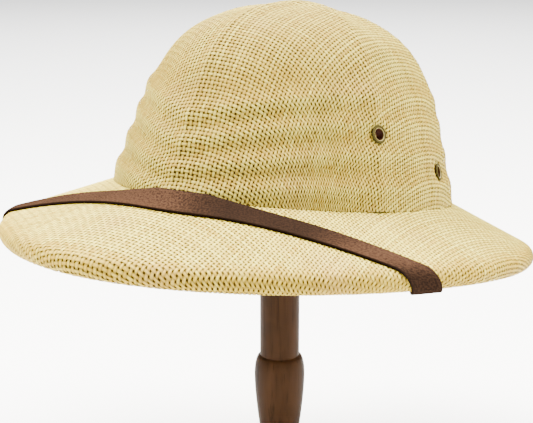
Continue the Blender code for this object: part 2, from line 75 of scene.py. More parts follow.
# ---------------------------------------------------------------- shader maths
class Socket:
    """A shader value or colour that takes part in sums written as Python."""

    def __init__(self, shader: "Shader", output: bpy.types.NodeSocket) -> None:
        """Wraps an output socket of a material."""
        self.shader = shader
        self.output = output

    def _with(self, operation: str, first: "Operand", second: "Operand",
              clamp: bool = False) -> "Socket":
        """The result of a Math node with two operands."""
        settings = {"operation": operation, "use_clamp": clamp}
        return self.shader.add("ShaderNodeMath", settings, {0: first, 1: second})

    def __add__(self, other: "Operand") -> "Socket":
        """Sum."""
        return self._with("ADD", self, other)

    def __mul__(self, other: "Operand") -> "Socket":
        """Product."""
        return self._with("MULTIPLY", self, other)

    def __sub__(self, other: "Operand") -> "Socket":
        """Difference."""
        return self._with("SUBTRACT", self, other)

    def __rsub__(self, other: "Operand") -> "Socket":
        """Difference, with this value taken away."""
        return self._with("SUBTRACT", other, self)

    def absolute(self) -> "Socket":
        """The value without its sign."""
        return self._with("ABSOLUTE", self, 0.0)

    def clamped(self) -> "Socket":
        """The value kept from 0 to 1."""
        return self._with("ADD", self, 0.0, clamp=True)

    def above(self, low: float, high: float) -> "Socket":
        """How far the value has come from low to high, eased, from 0 to 1."""
        values = {"Value": self, "From Min": low, "From Max": high}
        return self.shader.add("ShaderNodeMapRange", {"interpolation_type": "SMOOTHSTEP"}, values)


Operand = Union[Socket, float]
Input = Union[Socket, float, Sequence[float]]


class Shader:
    """One material under construction, around a Principled BSDF."""

    def __init__(self, name: str) -> None:
        """Starts a material.

        Args:
            name: The material's name.
        """
        self.material = bpy.data.materials.new(name)
        self.material.use_nodes = True
        self.tree = self.material.node_tree
        self.surface = self.tree.nodes["Principled BSDF"]

    def add(self, kind: str, settings: Optional[Dict[str, object]] = None,
            sockets: Optional[Dict[Union[str, int], Input]] = None,
            output: Union[str, int] = 0) -> Socket:
        """Adds a node of any kind.

        Args:
            kind: The node's type.
            settings: Its properties, or a ramp's stops under "stops", set before its sockets.
            sockets: Values or links for its inputs, by name or number.
            output: The output to return.

        Returns:
            The chosen output.
        """
        node = self.tree.nodes.new(kind)
        for key, value in (settings or {}).items():
            if key == "stops":
                self._set_stops(node.color_ramp, value)
            else:
                setattr(node, key, value)
        for key, value in (sockets or {}).items():
            self._feed(node.inputs[key], value)
        return Socket(self, node.outputs[output])

    @staticmethod
    def _set_stops(ramp: bpy.types.ColorRamp, stops: Sequence[Tuple[float, Colour]]) -> None:
        """Writes a colour ramp's stops.

        Args:
            ramp: The ramp.
            stops: Places with their colours, at least two.
        """
        while len(ramp.elements) < len(stops):
            ramp.elements.new(0.5)
        for element, (place, colour) in zip(ramp.elements, stops):
            element.position = place
            element.color = (*colour, 1.0)

    def _feed(self, socket: bpy.types.NodeSocket, value: Input) -> None:
        """Links or sets an input.

        Args:
            socket: The input.
            value: A socket to link, a number, or a colour or vector.
        """
        if isinstance(value, Socket):
            self.tree.links.new(value.output, socket)
        elif isinstance(value, (int, float)):
            socket.default_value = value
        else:
            size = len(socket.default_value)
            socket.default_value = (*value, 1.0)[:size] if len(value) < size else value

    def mix(self, share: Input, first: Input, second: Input) -> Socket:
        """The first colour with a share of the second mixed in."""
        return self.add("ShaderNodeMix", {"data_type": "RGBA"}, {0: share, 6: first, 7: second}, 2)

    def noise(self, place: Socket, scale: float, detail: float = 3.0, rough: float = 0.5) -> Socket:
        """Smooth noise from about 0.3 to 0.7, with scale cells to a unit of its coordinates."""
        sockets = {"Vector": place, "Scale": scale, "Detail": detail, "Roughness": rough}
        return self.add("ShaderNodeTexNoise", None, sockets, "Fac")

    def stretched(self, place: Socket, scale: Sequence[float]) -> Socket:
        """Coordinates with a factor for each axis."""
        return self.add("ShaderNodeMapping", None, {"Vector": place, "Scale": scale})

    def patched(self, colour: Input, noise: Socket, patches: "Patches") -> Socket:
        """A colour with patches of another one where a noise is high."""
        share = noise.above(patches.low, patches.high) * patches.share
        return self.mix(share, colour, patches.colour)

    def axis(self, vector: Socket, number: int) -> Socket:
        """One of a vector's three numbers."""
        return self.add("ShaderNodeSeparateXYZ", None, {0: vector}, number)

    def object_place(self) -> Socket:
        """Coordinates on the piece, in metres."""
        return self.add("ShaderNodeTexCoord", output="Object")

    def own_map(self, name: str) -> Socket:
        """The piece's own map of that name."""
        return self.add("ShaderNodeUVMap", {"uv_map": name}, output="UV")

    def bump(self, height: Socket, depth: float, strength: float) -> Socket:
        """The normal of a relief whose height of 1 measures depth, in metres."""
        sockets = {"Height": height, "Distance": depth, "Strength": strength}
        return self.add("ShaderNodeBump", None, sockets)

    def finish(self, sockets: Dict[str, Input]) -> Material:
        """Sets the surface's sockets.

        Args:
            sockets: Values and links by socket name.

        Returns:
            The finished material.
        """
        for name, value in sockets.items():
            self._feed(self.surface.inputs[name], value)
        return self.material


# ---------------------------------------------------------------- finishes
class Patches(NamedTuple):
    """Patches of a colour, from the noise where they begin to where they are full."""

    colour: Colour
    low: float
    high: float
    share: float = 1.0


@dataclass(frozen=True)
class StrawFinish:
    """Straw strands: fibres along each, with a tone of its own and broad patches over the hat;
    painted shade where they pass under and at their edges.
    """

    name: str
    pale: Colour = (0.715, 0.605, 0.100)
    warm: Colour = (0.43, 0.280, 0.020)
    # painted shade for strands where they pass under others and along their edges
    shaded: Colour = (0.072, 0.040, 0.004)
    rosy: Patches = Patches((0.52, 0.33, 0.10), 0.54, 0.72, 0.35)
    green: Patches = Patches((0.40, 0.38, 0.07), 0.56, 0.76, 0.3)
    roughness: float = 0.62
    specular: float = 0.07
    fibre_depth: float = 0.25 * MM

    def material(self) -> Material:
        """Builds the material.

        Returns:
            The straw's material.
        """
        shader = Shader(self.name)
        strand = shader.own_map(RibbonMesh.STRAND_MAP)
        place = shader.object_place()
        source = {"attribute_name": RibbonMesh.THREAD}
        thread = shader.add("ShaderNodeAttribute", source, output="Color")
        tone, height, edge = (
            shader.add("ShaderNodeSeparateColor", None, {0: thread}, part) for part in range(3))
        fibres = shader.noise(shader.stretched(strand, (0.22, 5.0, 1.0)), 1.0, 4.0, 0.6)
        blotch = shader.noise(shader.stretched(strand, (0.35, 0.9, 1.0)), 1.0, 2.0)
        patches = shader.noise(place, 22.0, 2.0)
        tints = shader.noise(shader.stretched(place, (1.0, 1.3, 0.8)), 38.0, 3.0)

        # The tone channel holds each strand's own tone together with painted light and shade from
        # its place on the hat.
        paler = (tone * 0.75 + (blotch - 0.5) * 1.1 + 0.12).clamped()
        body = shader.mix(paler, self.warm, self.pale)
        body = shader.patched(body, patches, self.rosy)
        body = shader.patched(body, tints, self.green)
        # Painted shade: strands darken where they pass under their neighbours and along their
        # edges; the fibre streaks are their own.
        streaks_and_edge_shade = (fibres.above(0.36, 0.60) * 0.28 + 0.72) * (edge * -0.22 + 1.0)
        low = ((1.0 - height) * 0.60 + edge * 0.50).clamped()
        body = shader.mix(low, body, self.shaded)
        body = shader.mix(1.0 - streaks_and_edge_shade, body, self.shaded)
        return shader.finish({
            "Base Color": body,
            "Roughness": self.roughness,
            "Specular IOR Level": self.specular,
            "Normal": shader.bump(fibres, self.fibre_depth, 0.7)})


@dataclass(frozen=True)
class StiffeningFinish:
    """Glazed stiffening that shows through the cloth's holes; its dark colour is partly painted
    shade in them.

    It is dark on upright walls and round the lip, and paler with painted light where it faces
    upwards.
    """

    name: str = "straw_stiffening"
    colour: Colour = (0.039, 0.0240, 0.0042)
    lighter: Patches = Patches((0.066, 0.0410, 0.0072), 0.4, 0.65)
    painted_top_light: Patches = Patches((0.095, 0.060, 0.011), 0.72, 0.97)  # painted light: paler by how far it faces upwards
    roughness: float = 0.7
    specular: float = 0.02
    grain_depth: float = 0.2 * MM

    def material(self) -> Material:
        """Builds the material.

        Returns:
            The stiffening's material.
        """
        shader = Shader(self.name)
        place = shader.object_place()
        cloudy = shader.noise(place, 60.0, 4.0)
        grain = shader.noise(place, 900.0, 2.0)
        upward = shader.axis(shader.add("ShaderNodeTexCoord", output="Normal"), 2)
        colour = shader.patched(self.colour, cloudy, self.lighter)
        # painted light: paler where the stiffening faces upwards, dark on upright walls and round
        # the lip
        colour = shader.patched(colour, upward, self.painted_top_light)
        return shader.finish({
            "Base Color": colour,
            "Roughness": self.roughness,
            "Specular IOR Level": self.specular,
            "Normal": shader.bump(grain, self.grain_depth, 0.5)})


@dataclass(frozen=True)
class LeatherFinish:
    """Brown strap leather with a fine grain, dark burnished edges and painted highlights along its
    length.
    """

    name: str = "grained_leather"
    colour: Colour = (0.0075, 0.0046, 0.0033)
    # the colour of worn grain and of the painted highlights along the strap
    worn_and_painted_light: Colour = (0.041, 0.0205, 0.0115)
    creased: Patches = Patches((0.0075, 0.0046, 0.0033), 0.55, 0.72, 0.4)
    edge: Patches = Patches((0.0100, 0.0058, 0.0036), 0.91, 0.96)  # by the share of the half width
    roughness: float = 0.50
    grain_depth: float = 0.22 * MM
    painted_light_along: Tuple[Pair, ...] = (  # painted highlights and shade along the strap: metres from the right end, and how pale
        (0.060, 0.35), (0.125, 0.62), (0.172, 0.72), (0.197, 1.0), (0.213, 0.92), (0.232, 0.30),
        (0.246, 0.14), (0.286, 0.16), (0.304, 0.40), (0.327, 1.0), (0.336, 0.72), (0.347, 0.24),
        (0.420, 0.35))
    reach: float = 0.46  # longer than the strap, in metres

    def material(self) -> Material:
        """Builds the material.

        Returns:
            The leather's material.
        """
        shader = Shader(self.name)
        strap_map = shader.own_map(ChinStrap.MAP)
        along, across = shader.axis(strap_map, 0), shader.axis(strap_map, 1)
        # Painted highlights where lamps would light the strap at its sides, and painted shade on
        # its front stretch.
        stops = [(run / self.reach, (pale, pale, pale)) for run, pale in self.painted_light_along]
        place_along = along * (1.0 / self.reach)
        pale = shader.add("ShaderNodeValToRGB", {"stops": stops}, {0: place_along})
        place = shader.object_place()
        grain = shader.noise(shader.stretched(strap_map, (900.0, 13.0, 1.0)), 1.0, 3.0, 0.7)
        creases = shader.noise(shader.stretched(strap_map, (420.0, 16.0, 1.0)), 1.0, 3.0, 0.6)
        rubbed = shader.noise(place, 45.0, 3.0)
        share = rubbed.above(0.38, 0.64) * 0.25 + grain.above(0.42, 0.58) * 1.2 + 0.25
        share = pale * share
        colour = shader.mix(share.clamped(), self.colour, self.worn_and_painted_light)
        colour = shader.patched(colour, creases, self.creased)
        outward = (across - 0.5).absolute() * 2.0
        colour = shader.patched(colour, outward, self.edge)
        return shader.finish({
            "Base Color": colour,
            "Roughness": grain * 0.3 + self.roughness,
            "Specular IOR Level": 0.0,
            "Normal": shader.bump(grain * 0.7 + creases * 0.5, self.grain_depth, 0.8)})


@dataclass(frozen=True)
class BrassFinish:
    """Aged dark brass, rubbed bright on its inner lip, with painted shade down inside its barrel.
    """

    name: str = "darkened_brass"
    dark: Colour = (0.036, 0.029, 0.007)
    bright: Colour = (0.27, 0.215, 0.085)
    painted_barrel_shade: Patches = Patches((0.034, 0.011, 0.006), 0.64, 0.72)  # painted shade inside the barrel, by the share of the rim's section
    specular: float = 0.01
    stain_depth: float = 0.1 * MM

    def material(self) -> Material:
        """Builds the material.

        Returns:
            The brass's material.
        """
        shader = Shader(self.name)
        inward = shader.axis(shader.own_map(Eyelets.MAP), 1)
        stains = shader.noise(shader.object_place(), 700.0, 4.0, 0.6)
        rubbed = inward.above(0.48, 0.53) * (1.0 - inward.above(0.60, 0.65))
        share = (rubbed * 0.9 + (stains - 0.5) * 0.6).clamped()
        colour = shader.mix(share, self.dark, self.bright)
        # Painted shade: the barrel's inside is darkened to stand for the hole's shade.
        colour = shader.patched(colour, inward, self.painted_barrel_shade)
        return shader.finish({
            "Base Color": colour,
            "Metallic": rubbed * 0.4,
            "Specular IOR Level": self.specular,
            "Roughness": stains * 0.4 + 0.32,
            "Normal": shader.bump(stains, self.stain_depth, 0.5)})


@dataclass(frozen=True)
class WoodFinish:
    """Dark stained turned wood with its grain along the post."""

    name: str = "stained_wood"
    colour: Colour = (0.025, 0.0115, 0.0046)
    figured: Patches = Patches((0.034, 0.0158, 0.0064), 0.36, 0.64)
    grained: Patches = Patches((0.013, 0.0066, 0.0026), 0.50, 0.70, 0.8)
    stained: Patches = Patches((0.013, 0.0066, 0.0026), 0.54, 0.72, 0.5)
    roughness: float = 0.4
    specular: float = 0.03
    grain_depth: float = 0.12 * MM

    def material(self) -> Material:
        """Builds the material.

        Returns:
            The wood's material.
        """
        shader = Shader(self.name)
        place = shader.object_place()
        grain = shader.noise(shader.stretched(place, (1.0, 1.0, 0.06)), 420.0, 5.0, 0.62)
        figure = shader.noise(shader.stretched(place, (1.0, 1.0, 0.16)), 70.0, 3.0)
        stain = shader.noise(place, 38.0, 3.0)
        colour = shader.patched(self.colour, figure, self.figured)
        colour = shader.patched(colour, grain, self.grained)
        colour = shader.patched(colour, stain, self.stained)
        return shader.finish({
            "Base Color": colour,
            "Roughness": grain * 0.25 + self.roughness,
            "Specular IOR Level": self.specular,
            "Normal": shader.bump(grain, self.grain_depth, 0.6)})


# ---------------------------------------------------------------- small helpers
def eased(value: Array, low: float, high: float) -> Array:
    """Eased step from 0 at low to 1 at high."""
    share = np.clip((value - low) / (high - low), 0.0, 1.0)
    return share * share * (3.0 - 2.0 * share)


def unit(vectors: Array) -> Array:
    """Vectors along the last axis, brought to a length of 1."""
    return vectors / np.maximum(np.linalg.norm(vectors, axis=-1, keepdims=True), 1e-12)


def off_front(theta: Array) -> Array:
    """Angles away from the hat's front, to either side."""
    return np.abs((theta + math.pi) % (2.0 * math.pi) - math.pi)


def normal_draws(random: np.random.Generator, shape: Union[int, Tuple[int, ...]]) -> Array:
    """Normally spread numbers without the far ones."""
    return random.normal(size=shape).clip(-2.0, 2.0)


def run_along(line: Array) -> Array:
    """Length of a line of points up to each of them."""
    return np.concatenate(([0.0], np.cumsum(np.linalg.norm(np.diff(line, axis=0), axis=1))))


def add_map(mesh: bpy.types.Mesh, name: str, corners: Array, places: Array) -> None:
    """Gives a mesh a map.

    Args:
        mesh: The mesh.
        name: The map's name.
        corners: The vertex at each corner of its faces.
        places: The vertices' places on the map.
    """
    layer = mesh.uv_layers.new(name=name)
    layer.uv.foreach_set("vector", places[corners].astype(np.float32).reshape(-1))


def deselect_all() -> None:
    """Leaves object mode with nothing selected."""
    for item in bpy.context.selected_objects:
        item.select_set(False)
    bpy.context.view_layer.objects.active = None


def link(name: str, mesh: bpy.types.Mesh, finish: Material,
         node: Optional[str] = None) -> Object:
    """Makes a piece of the object from a mesh.

    Args:
        name: The piece's name.
        mesh: Its mesh, in the row frame.
        finish: Its material.
        node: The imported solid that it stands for.

    Returns:
        The piece.
    """
    mesh.name = name
    piece = bpy.data.objects.new(name, mesh)
    bpy.context.scene.collection.objects.link(piece)
    return dress(piece, finish, node)


def dress(piece: Object, finish: Material, node: Optional[str] = None) -> Object:
    """Gives a piece its material and its place among the object's bodies.

    Args:
        piece: The piece, with its place in its mesh.
        finish: Its material.
        node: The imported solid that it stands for.

    Returns:
        The piece.
    """
    piece.data.materials.clear()
    piece.data.materials.append(finish)
    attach(piece, BODY)
    if node:
        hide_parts(node)
    log.info("%s: %d faces", piece.name, len(piece.data.polygons))
    return piece


def turned(name: str, profile: Sequence[Pair], segments: int,
           hollow: bool = False) -> Object:
    """Turns a piece around Z: a circle that is extruded and resized from ring to ring.

    Args:
        name: The piece's name.
        profile: Radius and height of each ring.
        segments: Sides of a ring.
        hollow: Whether the last ring joins the first, and not a face that closes each end.

    Returns:
        The piece, with its place in its mesh.
    """
    deselect_all()
    radius, height = profile[0]
    bpy.ops.mesh.primitive_circle_add(
        vertices=segments, radius=radius, fill_type="NOTHING" if hollow else "NGON",
        location=(0.0, 0.0, height))
    piece = bpy.context.active_object
    piece.name = piece.data.name = name
    bpy.ops.object.mode_set(mode="EDIT")
    bpy.ops.mesh.select_all(action="SELECT")
    for wide, high in profile[1:]:
        rise = {"value": (0.0, 0.0, high - height)}
        bpy.ops.mesh.extrude_region_move(TRANSFORM_OT_translate=rise)
        share = wide / radius
        bpy.ops.transform.resize(value=(share, share, 1.0), center_override=(0.0, 0.0, high))
        radius, height = wide, high
    if hollow:
        bpy.ops.mesh.select_all(action="DESELECT")
        bpy.ops.mesh.select_mode(type="EDGE")
        bpy.ops.mesh.select_non_manifold()
        bpy.ops.mesh.bridge_edge_loops()
    bpy.ops.mesh.select_all(action="SELECT")
    bpy.ops.mesh.normals_make_consistent(inside=False)
    bpy.ops.object.mode_set(mode="OBJECT")
    bpy.ops.object.transform_apply(location=True, rotation=True, scale=True)
    bpy.ops.object.shade_smooth_by_angle(angle=math.radians(35.0))
    return piece


def redress(node: Object, finish: Material) -> None:
    """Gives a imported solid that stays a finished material."""
    for held in node.material_slots:
        held.material = finish


# ---------------------------------------------------------------- the hat's forms
@dataclass(frozen=True)
class HatSeat:
    """How the hat sits on its stand."""

    pitch: float = math.radians(9.66)
    shift_y: float = 7.5 * MM
    foot_height: float = 205.0 * MM

    def to_row(self, points: Array) -> Array:
        """Turns points from the hat's own frame into the row frame.

        Args:
            points: An array whose last axis is X, Y, Z.

        Returns:
            The placed points.
        """
        c, s = math.cos(self.pitch), math.sin(self.pitch)
        x, y, z = np.moveaxis(points, -1, 0)
        placed = (x, c * y + s * z + self.shift_y, c * z - s * y + self.foot_height)
        return np.stack(placed, axis=-1)


class Pleat(NamedTuple):
    """A fold laid around the crown."""

    side_height: float
    front_dip: float


class EyeletPlace(NamedTuple):
    """Where a ventilation eyelet sits in the crown's wall."""

    from_front: float
    height_share: float


@dataclass(frozen=True)
class CrownForm:
    """The crown's smooth form and its reliefs, in the hat's own frame."""

    half_width: float = 90.0 * MM
    half_length: float = 113.5 * MM
    height: float = 106.0 * MM
    foot: float = 0.3 * MM
    wall: float = 3.0 * MM
    taper: float = 0.319
    squareness: float = 7.16
    roundness: float = 1.78
    apex_shift_y: float = -2.2 * MM
    seam_angles: Tuple[float, ...] = (0.0, 67.0, 113.0, 180.0, 247.0, 293.0, 360.0)  # degrees
    seam_relief: float = 1.1 * MM
    seam_width: float = 5.5 * MM
    panel_flatness: float = 0.9 * MM
    cloth_turn: float = math.radians(5.0)  # of the threads against the hat
    crease_depth: float = 2.3 * MM  # of a panel's middle below the creases at its seams
    crease_top: float = 1.9 * MM  # of a crease over the round form
    crease_reach: float = 11.0 * MM  # of its own ridge to each side
    crease_share: float = 0.75  # of a crease's height that is its own ridge
    seams_meet_width: float = 0.35
    pleats: Tuple[Pleat, ...] = (
        Pleat(12.2 * MM, 10.0 * MM),
        Pleat(29.4 * MM, 16.1 * MM),
        Pleat(45.6 * MM, 18.5 * MM),
        Pleat(59.4 * MM, 18.0 * MM))
    pleat_dip_reach: float = math.radians(75.0)
    pleat_dip_sharpness: float = 1.7
    pleat_relief: float = 1.5 * MM
    pleat_fade_above: float = 6.5 * MM
    pleat_fade_below: float = 3.2 * MM
    fold_relief: float = 1.0 * MM  # of the cloth's own crest over the solid's
    fold_fade_above: float = 2.6 * MM
    fold_fade_below: float = 7.5 * MM
    pleat_softens: float = math.radians(77.0)
    pleat_softens_over: float = math.radians(9.5)
    pleat_softening: float = 0.45
    button_radius: float = 14.0 * MM
    button_height: float = 2.6 * MM
    button_fullness: float = 0.6
    skirt_height: float = 0.85 * MM  # the cloth bridges the hollow round the button's foot
    skirt_radius: float = 15.0 * MM
    skirt_width: float = 3.2 * MM
    reach_below: float = 0.06  # share of the height that the form runs on below its foot
    meridian_samples: int = 4000
    solver_rounds: int = 6

    def point(self, theta: Array, share: Array, inset: float = 0.0) -> Array:
        """Places on the smooth form.

        Args:
            theta: Angles from the hat's front.
            share: Shares of the height.
            inset: How far inside the outer form.

        Returns:
            The points.
        """
        turned = np.clip(1.0 - np.clip(share, 0.0, None) ** self.squareness, 0.0, None)
        width = (1.0 - self.taper * share) * turned ** (1.0 / self.roundness)
        x = (self.half_width - inset) * width * np.sin(theta)
        y = -(self.half_length - inset) * width * np.cos(theta) + self.apex_shift_y * share
        return np.stack((x, y, self.foot + (self.height - inset) * share), axis=-1)

    def _shares(self, points: Array, inset: float) -> Tuple[Array, Array, Array]:
        """Shares of the width, of the length and of the height.

        Args:
            points: Places near the form.
            inset: How far inside the outer form it lies.

        Returns:
            The three shares.
        """
        share = (points[..., 2] - self.foot) / (self.height - inset)
        across = points[..., 0] / (self.half_width - inset)
        ahead = (points[..., 1] - self.apex_shift_y * share) / (self.half_length - inset)
        return across, ahead, share

    def level(self, points: Array, inset: float) -> Tuple[Array, Array]:
        """A value that is 0 on the form and grows outwards, with its gradient.

        Args:
            points: Places near the form.
            inset: How far inside the outer form it lies.

        Returns:
            The values and the gradients.
        """
        a, b, tall = self.half_width - inset, self.half_length - inset, self.height - inset
        across, ahead, share = self._shares(points, inset)
        reach = np.maximum(np.hypot(across, ahead), 1e-9)
        left = 1.0 - self.taper * share
        up = np.clip(share, 0.0, None)
        value = (reach / left) ** self.roundness + up ** self.squareness - 1.0
        steep = self.roundness * (reach / left) ** (self.roundness - 1.0) / left
        by_share = steep * (-ahead * self.apex_shift_y / (b * reach) + reach * self.taper / left)
        by_share = by_share + self.squareness * up ** (self.squareness - 1.0)
        slopes = (steep * across / (a * reach), steep * ahead / (b * reach), by_share / tall)
        return value, np.stack(slopes, axis=-1)

    def spread(self, points: Array, inset: float) -> Tuple[Array, Array]:
        """Angles and shares of the height of places on the form, inset from its outer one."""
        across, ahead, share = self._shares(points, inset)
        return np.arctan2(across, -ahead), share

    def relief(self, theta: Array, share: Array, creased: Amount = 0.0) -> Array:
        """Height of the seams, the pleats and the covered button over the smooth form.

        Args:
            theta: Angles from the hat's front.
            share: Shares of the height.
            creased: How far the cloth's own folds rise over the solid's, from 0 to 1.

        Returns:
            The heights, in metres.
        """
        smooth = self.point(theta, np.clip(share, 0.0, 1.0))
        seams = self._seams(theta, share, smooth, creased)
        solid = self.near_pleat(theta, share, self.pleat_fade_above, self.pleat_fade_below)
        cloth = self.near_pleat(theta, share, self.pleat_fade_above, self.fold_fade_below)
        crest = self.near_pleat(theta, share, self.fold_fade_above, self.fold_fade_below)
        pleats = self.pleat_relief * (solid + (cloth - solid) * creased)
        reach = np.hypot(smooth[..., 0], smooth[..., 1] - self.apex_shift_y)
        rise = np.clip(1.0 - (reach / self.button_radius) ** 2, 0.0, None)
        skirt = self.skirt_height * np.exp(-((reach - self.skirt_radius) / self.skirt_width) ** 2)
        button = self.button_height * rise ** self.button_fullness + skirt * creased
        return seams + pleats + self.fold_relief * crest * creased + button

    def _seams(self, theta: Array, share: Array, smooth: Array, creased: Amount) -> Array:
        """Height of the seams and of the cloth's creases at them.

        Args:
            theta: Angles from the hat's front.
            share: Shares of the height.
            smooth: The places there on the smooth form.
            creased: How far the cloth's own folds rise over the solid's, from 0 to 1.

        Returns:
            The heights, in metres.
        """
        width = np.hypot(smooth[..., 0] / self.half_width,
                         (smooth[..., 1] - self.apex_shift_y * share) / self.half_length)
        turn = np.degrees(theta) % 360.0
        stops = np.array(self.seam_angles)
        panel = np.clip(np.searchsorted(stops, turn, side="right") - 1, 0, len(stops) - 2)
        start, stop = stops[panel], stops[panel + 1]
        mean_radius = 0.5 * width * (self.half_width + self.half_length)
        nearest = np.radians(np.minimum(turn - start, stop - turn)) * mean_radius
        across = (turn - start) / (stop - start)
        seams = self.seam_relief * np.exp(-(nearest / self.seam_width) ** 2)
        seams = seams + self.panel_flatness * (0.5 - np.sin(math.pi * across) ** 2)
        ridge = self.crease_share * (1.0 - np.exp(-nearest / self.crease_reach))
        middle = 1.0 - (2.0 * across - 1.0) ** 2
        crease = self.crease_top * (1.0 - ridge) - self.crease_depth * middle
        seams = seams + np.clip(crease - seams, 0.0, None) * creased
        return seams * np.minimum(1.0, width / self.seams_meet_width)

    def near_pleat(self, theta: Array, share: Array, above: float, below: float) -> Array:
        """How near places lie to a pleat's crest, which is lower at the hat's front.

        Args:
            theta: Angles from the hat's front.
            share: Shares of the height.
            above: How far above a crest this fades.
            below: How far below a crest it fades.

        Returns:
            Shares from 0 to 1, which stay lower behind.
        """
        front = off_front(theta)
        dip = np.clip(1.0 - front / self.pleat_dip_reach, 0.0, None) ** self.pleat_dip_sharpness
        nearest = np.zeros_like(theta)
        for pleat in self.pleats:
            under = pleat.side_height - pleat.front_dip * dip - share * self.height
            fade = np.where(under > 0.0, below, above)
            nearest = np.maximum(nearest, np.exp(-(under / fade) ** 2))
        behind = 1.0 / (1.0 + np.exp((self.pleat_softens - front) / self.pleat_softens_over))
        return (1.0 - self.pleat_softening * behind) * nearest

    def meridian(self, theta: float, pitch: float, inset: float) -> Array:
        """Points a pitch apart from the top down to just below the foot.

        Args:
            theta: The side on which it runs down.
            pitch: The distance between the points.
            inset: How far inside the outer form.

        Returns:
            The points.
        """
        down = np.linspace(0.0, math.sqrt(1.0 + self.reach_below), self.meridian_samples) ** 2
        line = self.point(np.full_like(down, theta), 1.0 - down, inset)
        run = run_along(line)
        stops = np.arange(0.0, run[-1], pitch)
        return np.stack([np.interp(stops, run, line[:, k]) for k in range(3)], axis=-1)

    def quarter(self, side: Array, along: Array, pitch: float, inset: float) -> Array:
        """Lays a cloth of unstretched threads over a quarter of the form.

        Every crossing lies one pitch from the crossings before it on both of its threads.

        Args:
            side: Crossings on the thread from the top down one side.
            along: Crossings on the thread from the top down the front or back.
            pitch: The distance between threads.
            inset: How far inside the outer form.

        Returns:
            The crossings; those that lie off the form are nan.
        """
        wide, long = len(side), len(along)
        net = np.full((wide, long, 3), np.nan)
        net[:, 0], net[0, :] = side, along
        lowest = self.foot - self.reach_below * self.height
        for total in range(2, wide + long - 1):
            i = np.arange(max(1, total - long + 1), min(wide, total))
            j = total - i
            first, second = net[i - 1, j], net[i, j - 1]
            spot = first + second - net[i - 1, j - 1]
            laid = np.isfinite(spot).all(axis=-1)
            i, j, first, second, spot = i[laid], j[laid], first[laid], second[laid], spot[laid]
            if not len(i):
                continue
            for _ in range(self.solver_rounds):
                value, slope = self.level(spot, inset)
                to_first, to_second = spot - first, spot - second
                miss = np.stack((
                    (to_first ** 2).sum(-1) - pitch ** 2,
                    (to_second ** 2).sum(-1) - pitch ** 2,
                    value * pitch), axis=-1)
                rates = np.stack((2.0 * to_first, 2.0 * to_second, slope * pitch), axis=-2)
                spot = spot - np.linalg.solve(rates, miss[..., None])[..., 0]
            spot[spot[:, 2] < lowest] = np.nan
            net[i, j] = spot
        return net

    def drape(self, pitch: float, inset: float = 0.0) -> Array:
        """Lays a cloth over the whole form, with two of its threads crossing on its top.

        Args:
            pitch: The distance between threads.
            inset: How far inside the outer form.

        Returns:
            The crossings, from one side to the other and from back to front.
        """
        turns = [self.cloth_turn + 0.5 * math.pi * k for k in range(4)]
        front, left, back, right = (self.meridian(turn, pitch, inset) for turn in turns)
        halves = []
        for side in (left, right):
            ahead, behind = (self.quarter(side, end, pitch, inset) for end in (front, back))
            halves.append(np.concatenate((behind[:, :0:-1], ahead), axis=1))
        return np.concatenate((halves[1][:0:-1], halves[0]), axis=0)


class Section(NamedTuple):
    """Upright cuts through the brim, one for each angle: its skin is a row of runs and arcs."""

    root: Array
    out: Array
    span: Array
    top_angle: Array
    top_run: Array
    lip_run: Array
    under_start: Array  # along the skin
    under_angle: Array
    under_run: Array
    edge_start: Array
    edge_run: Array


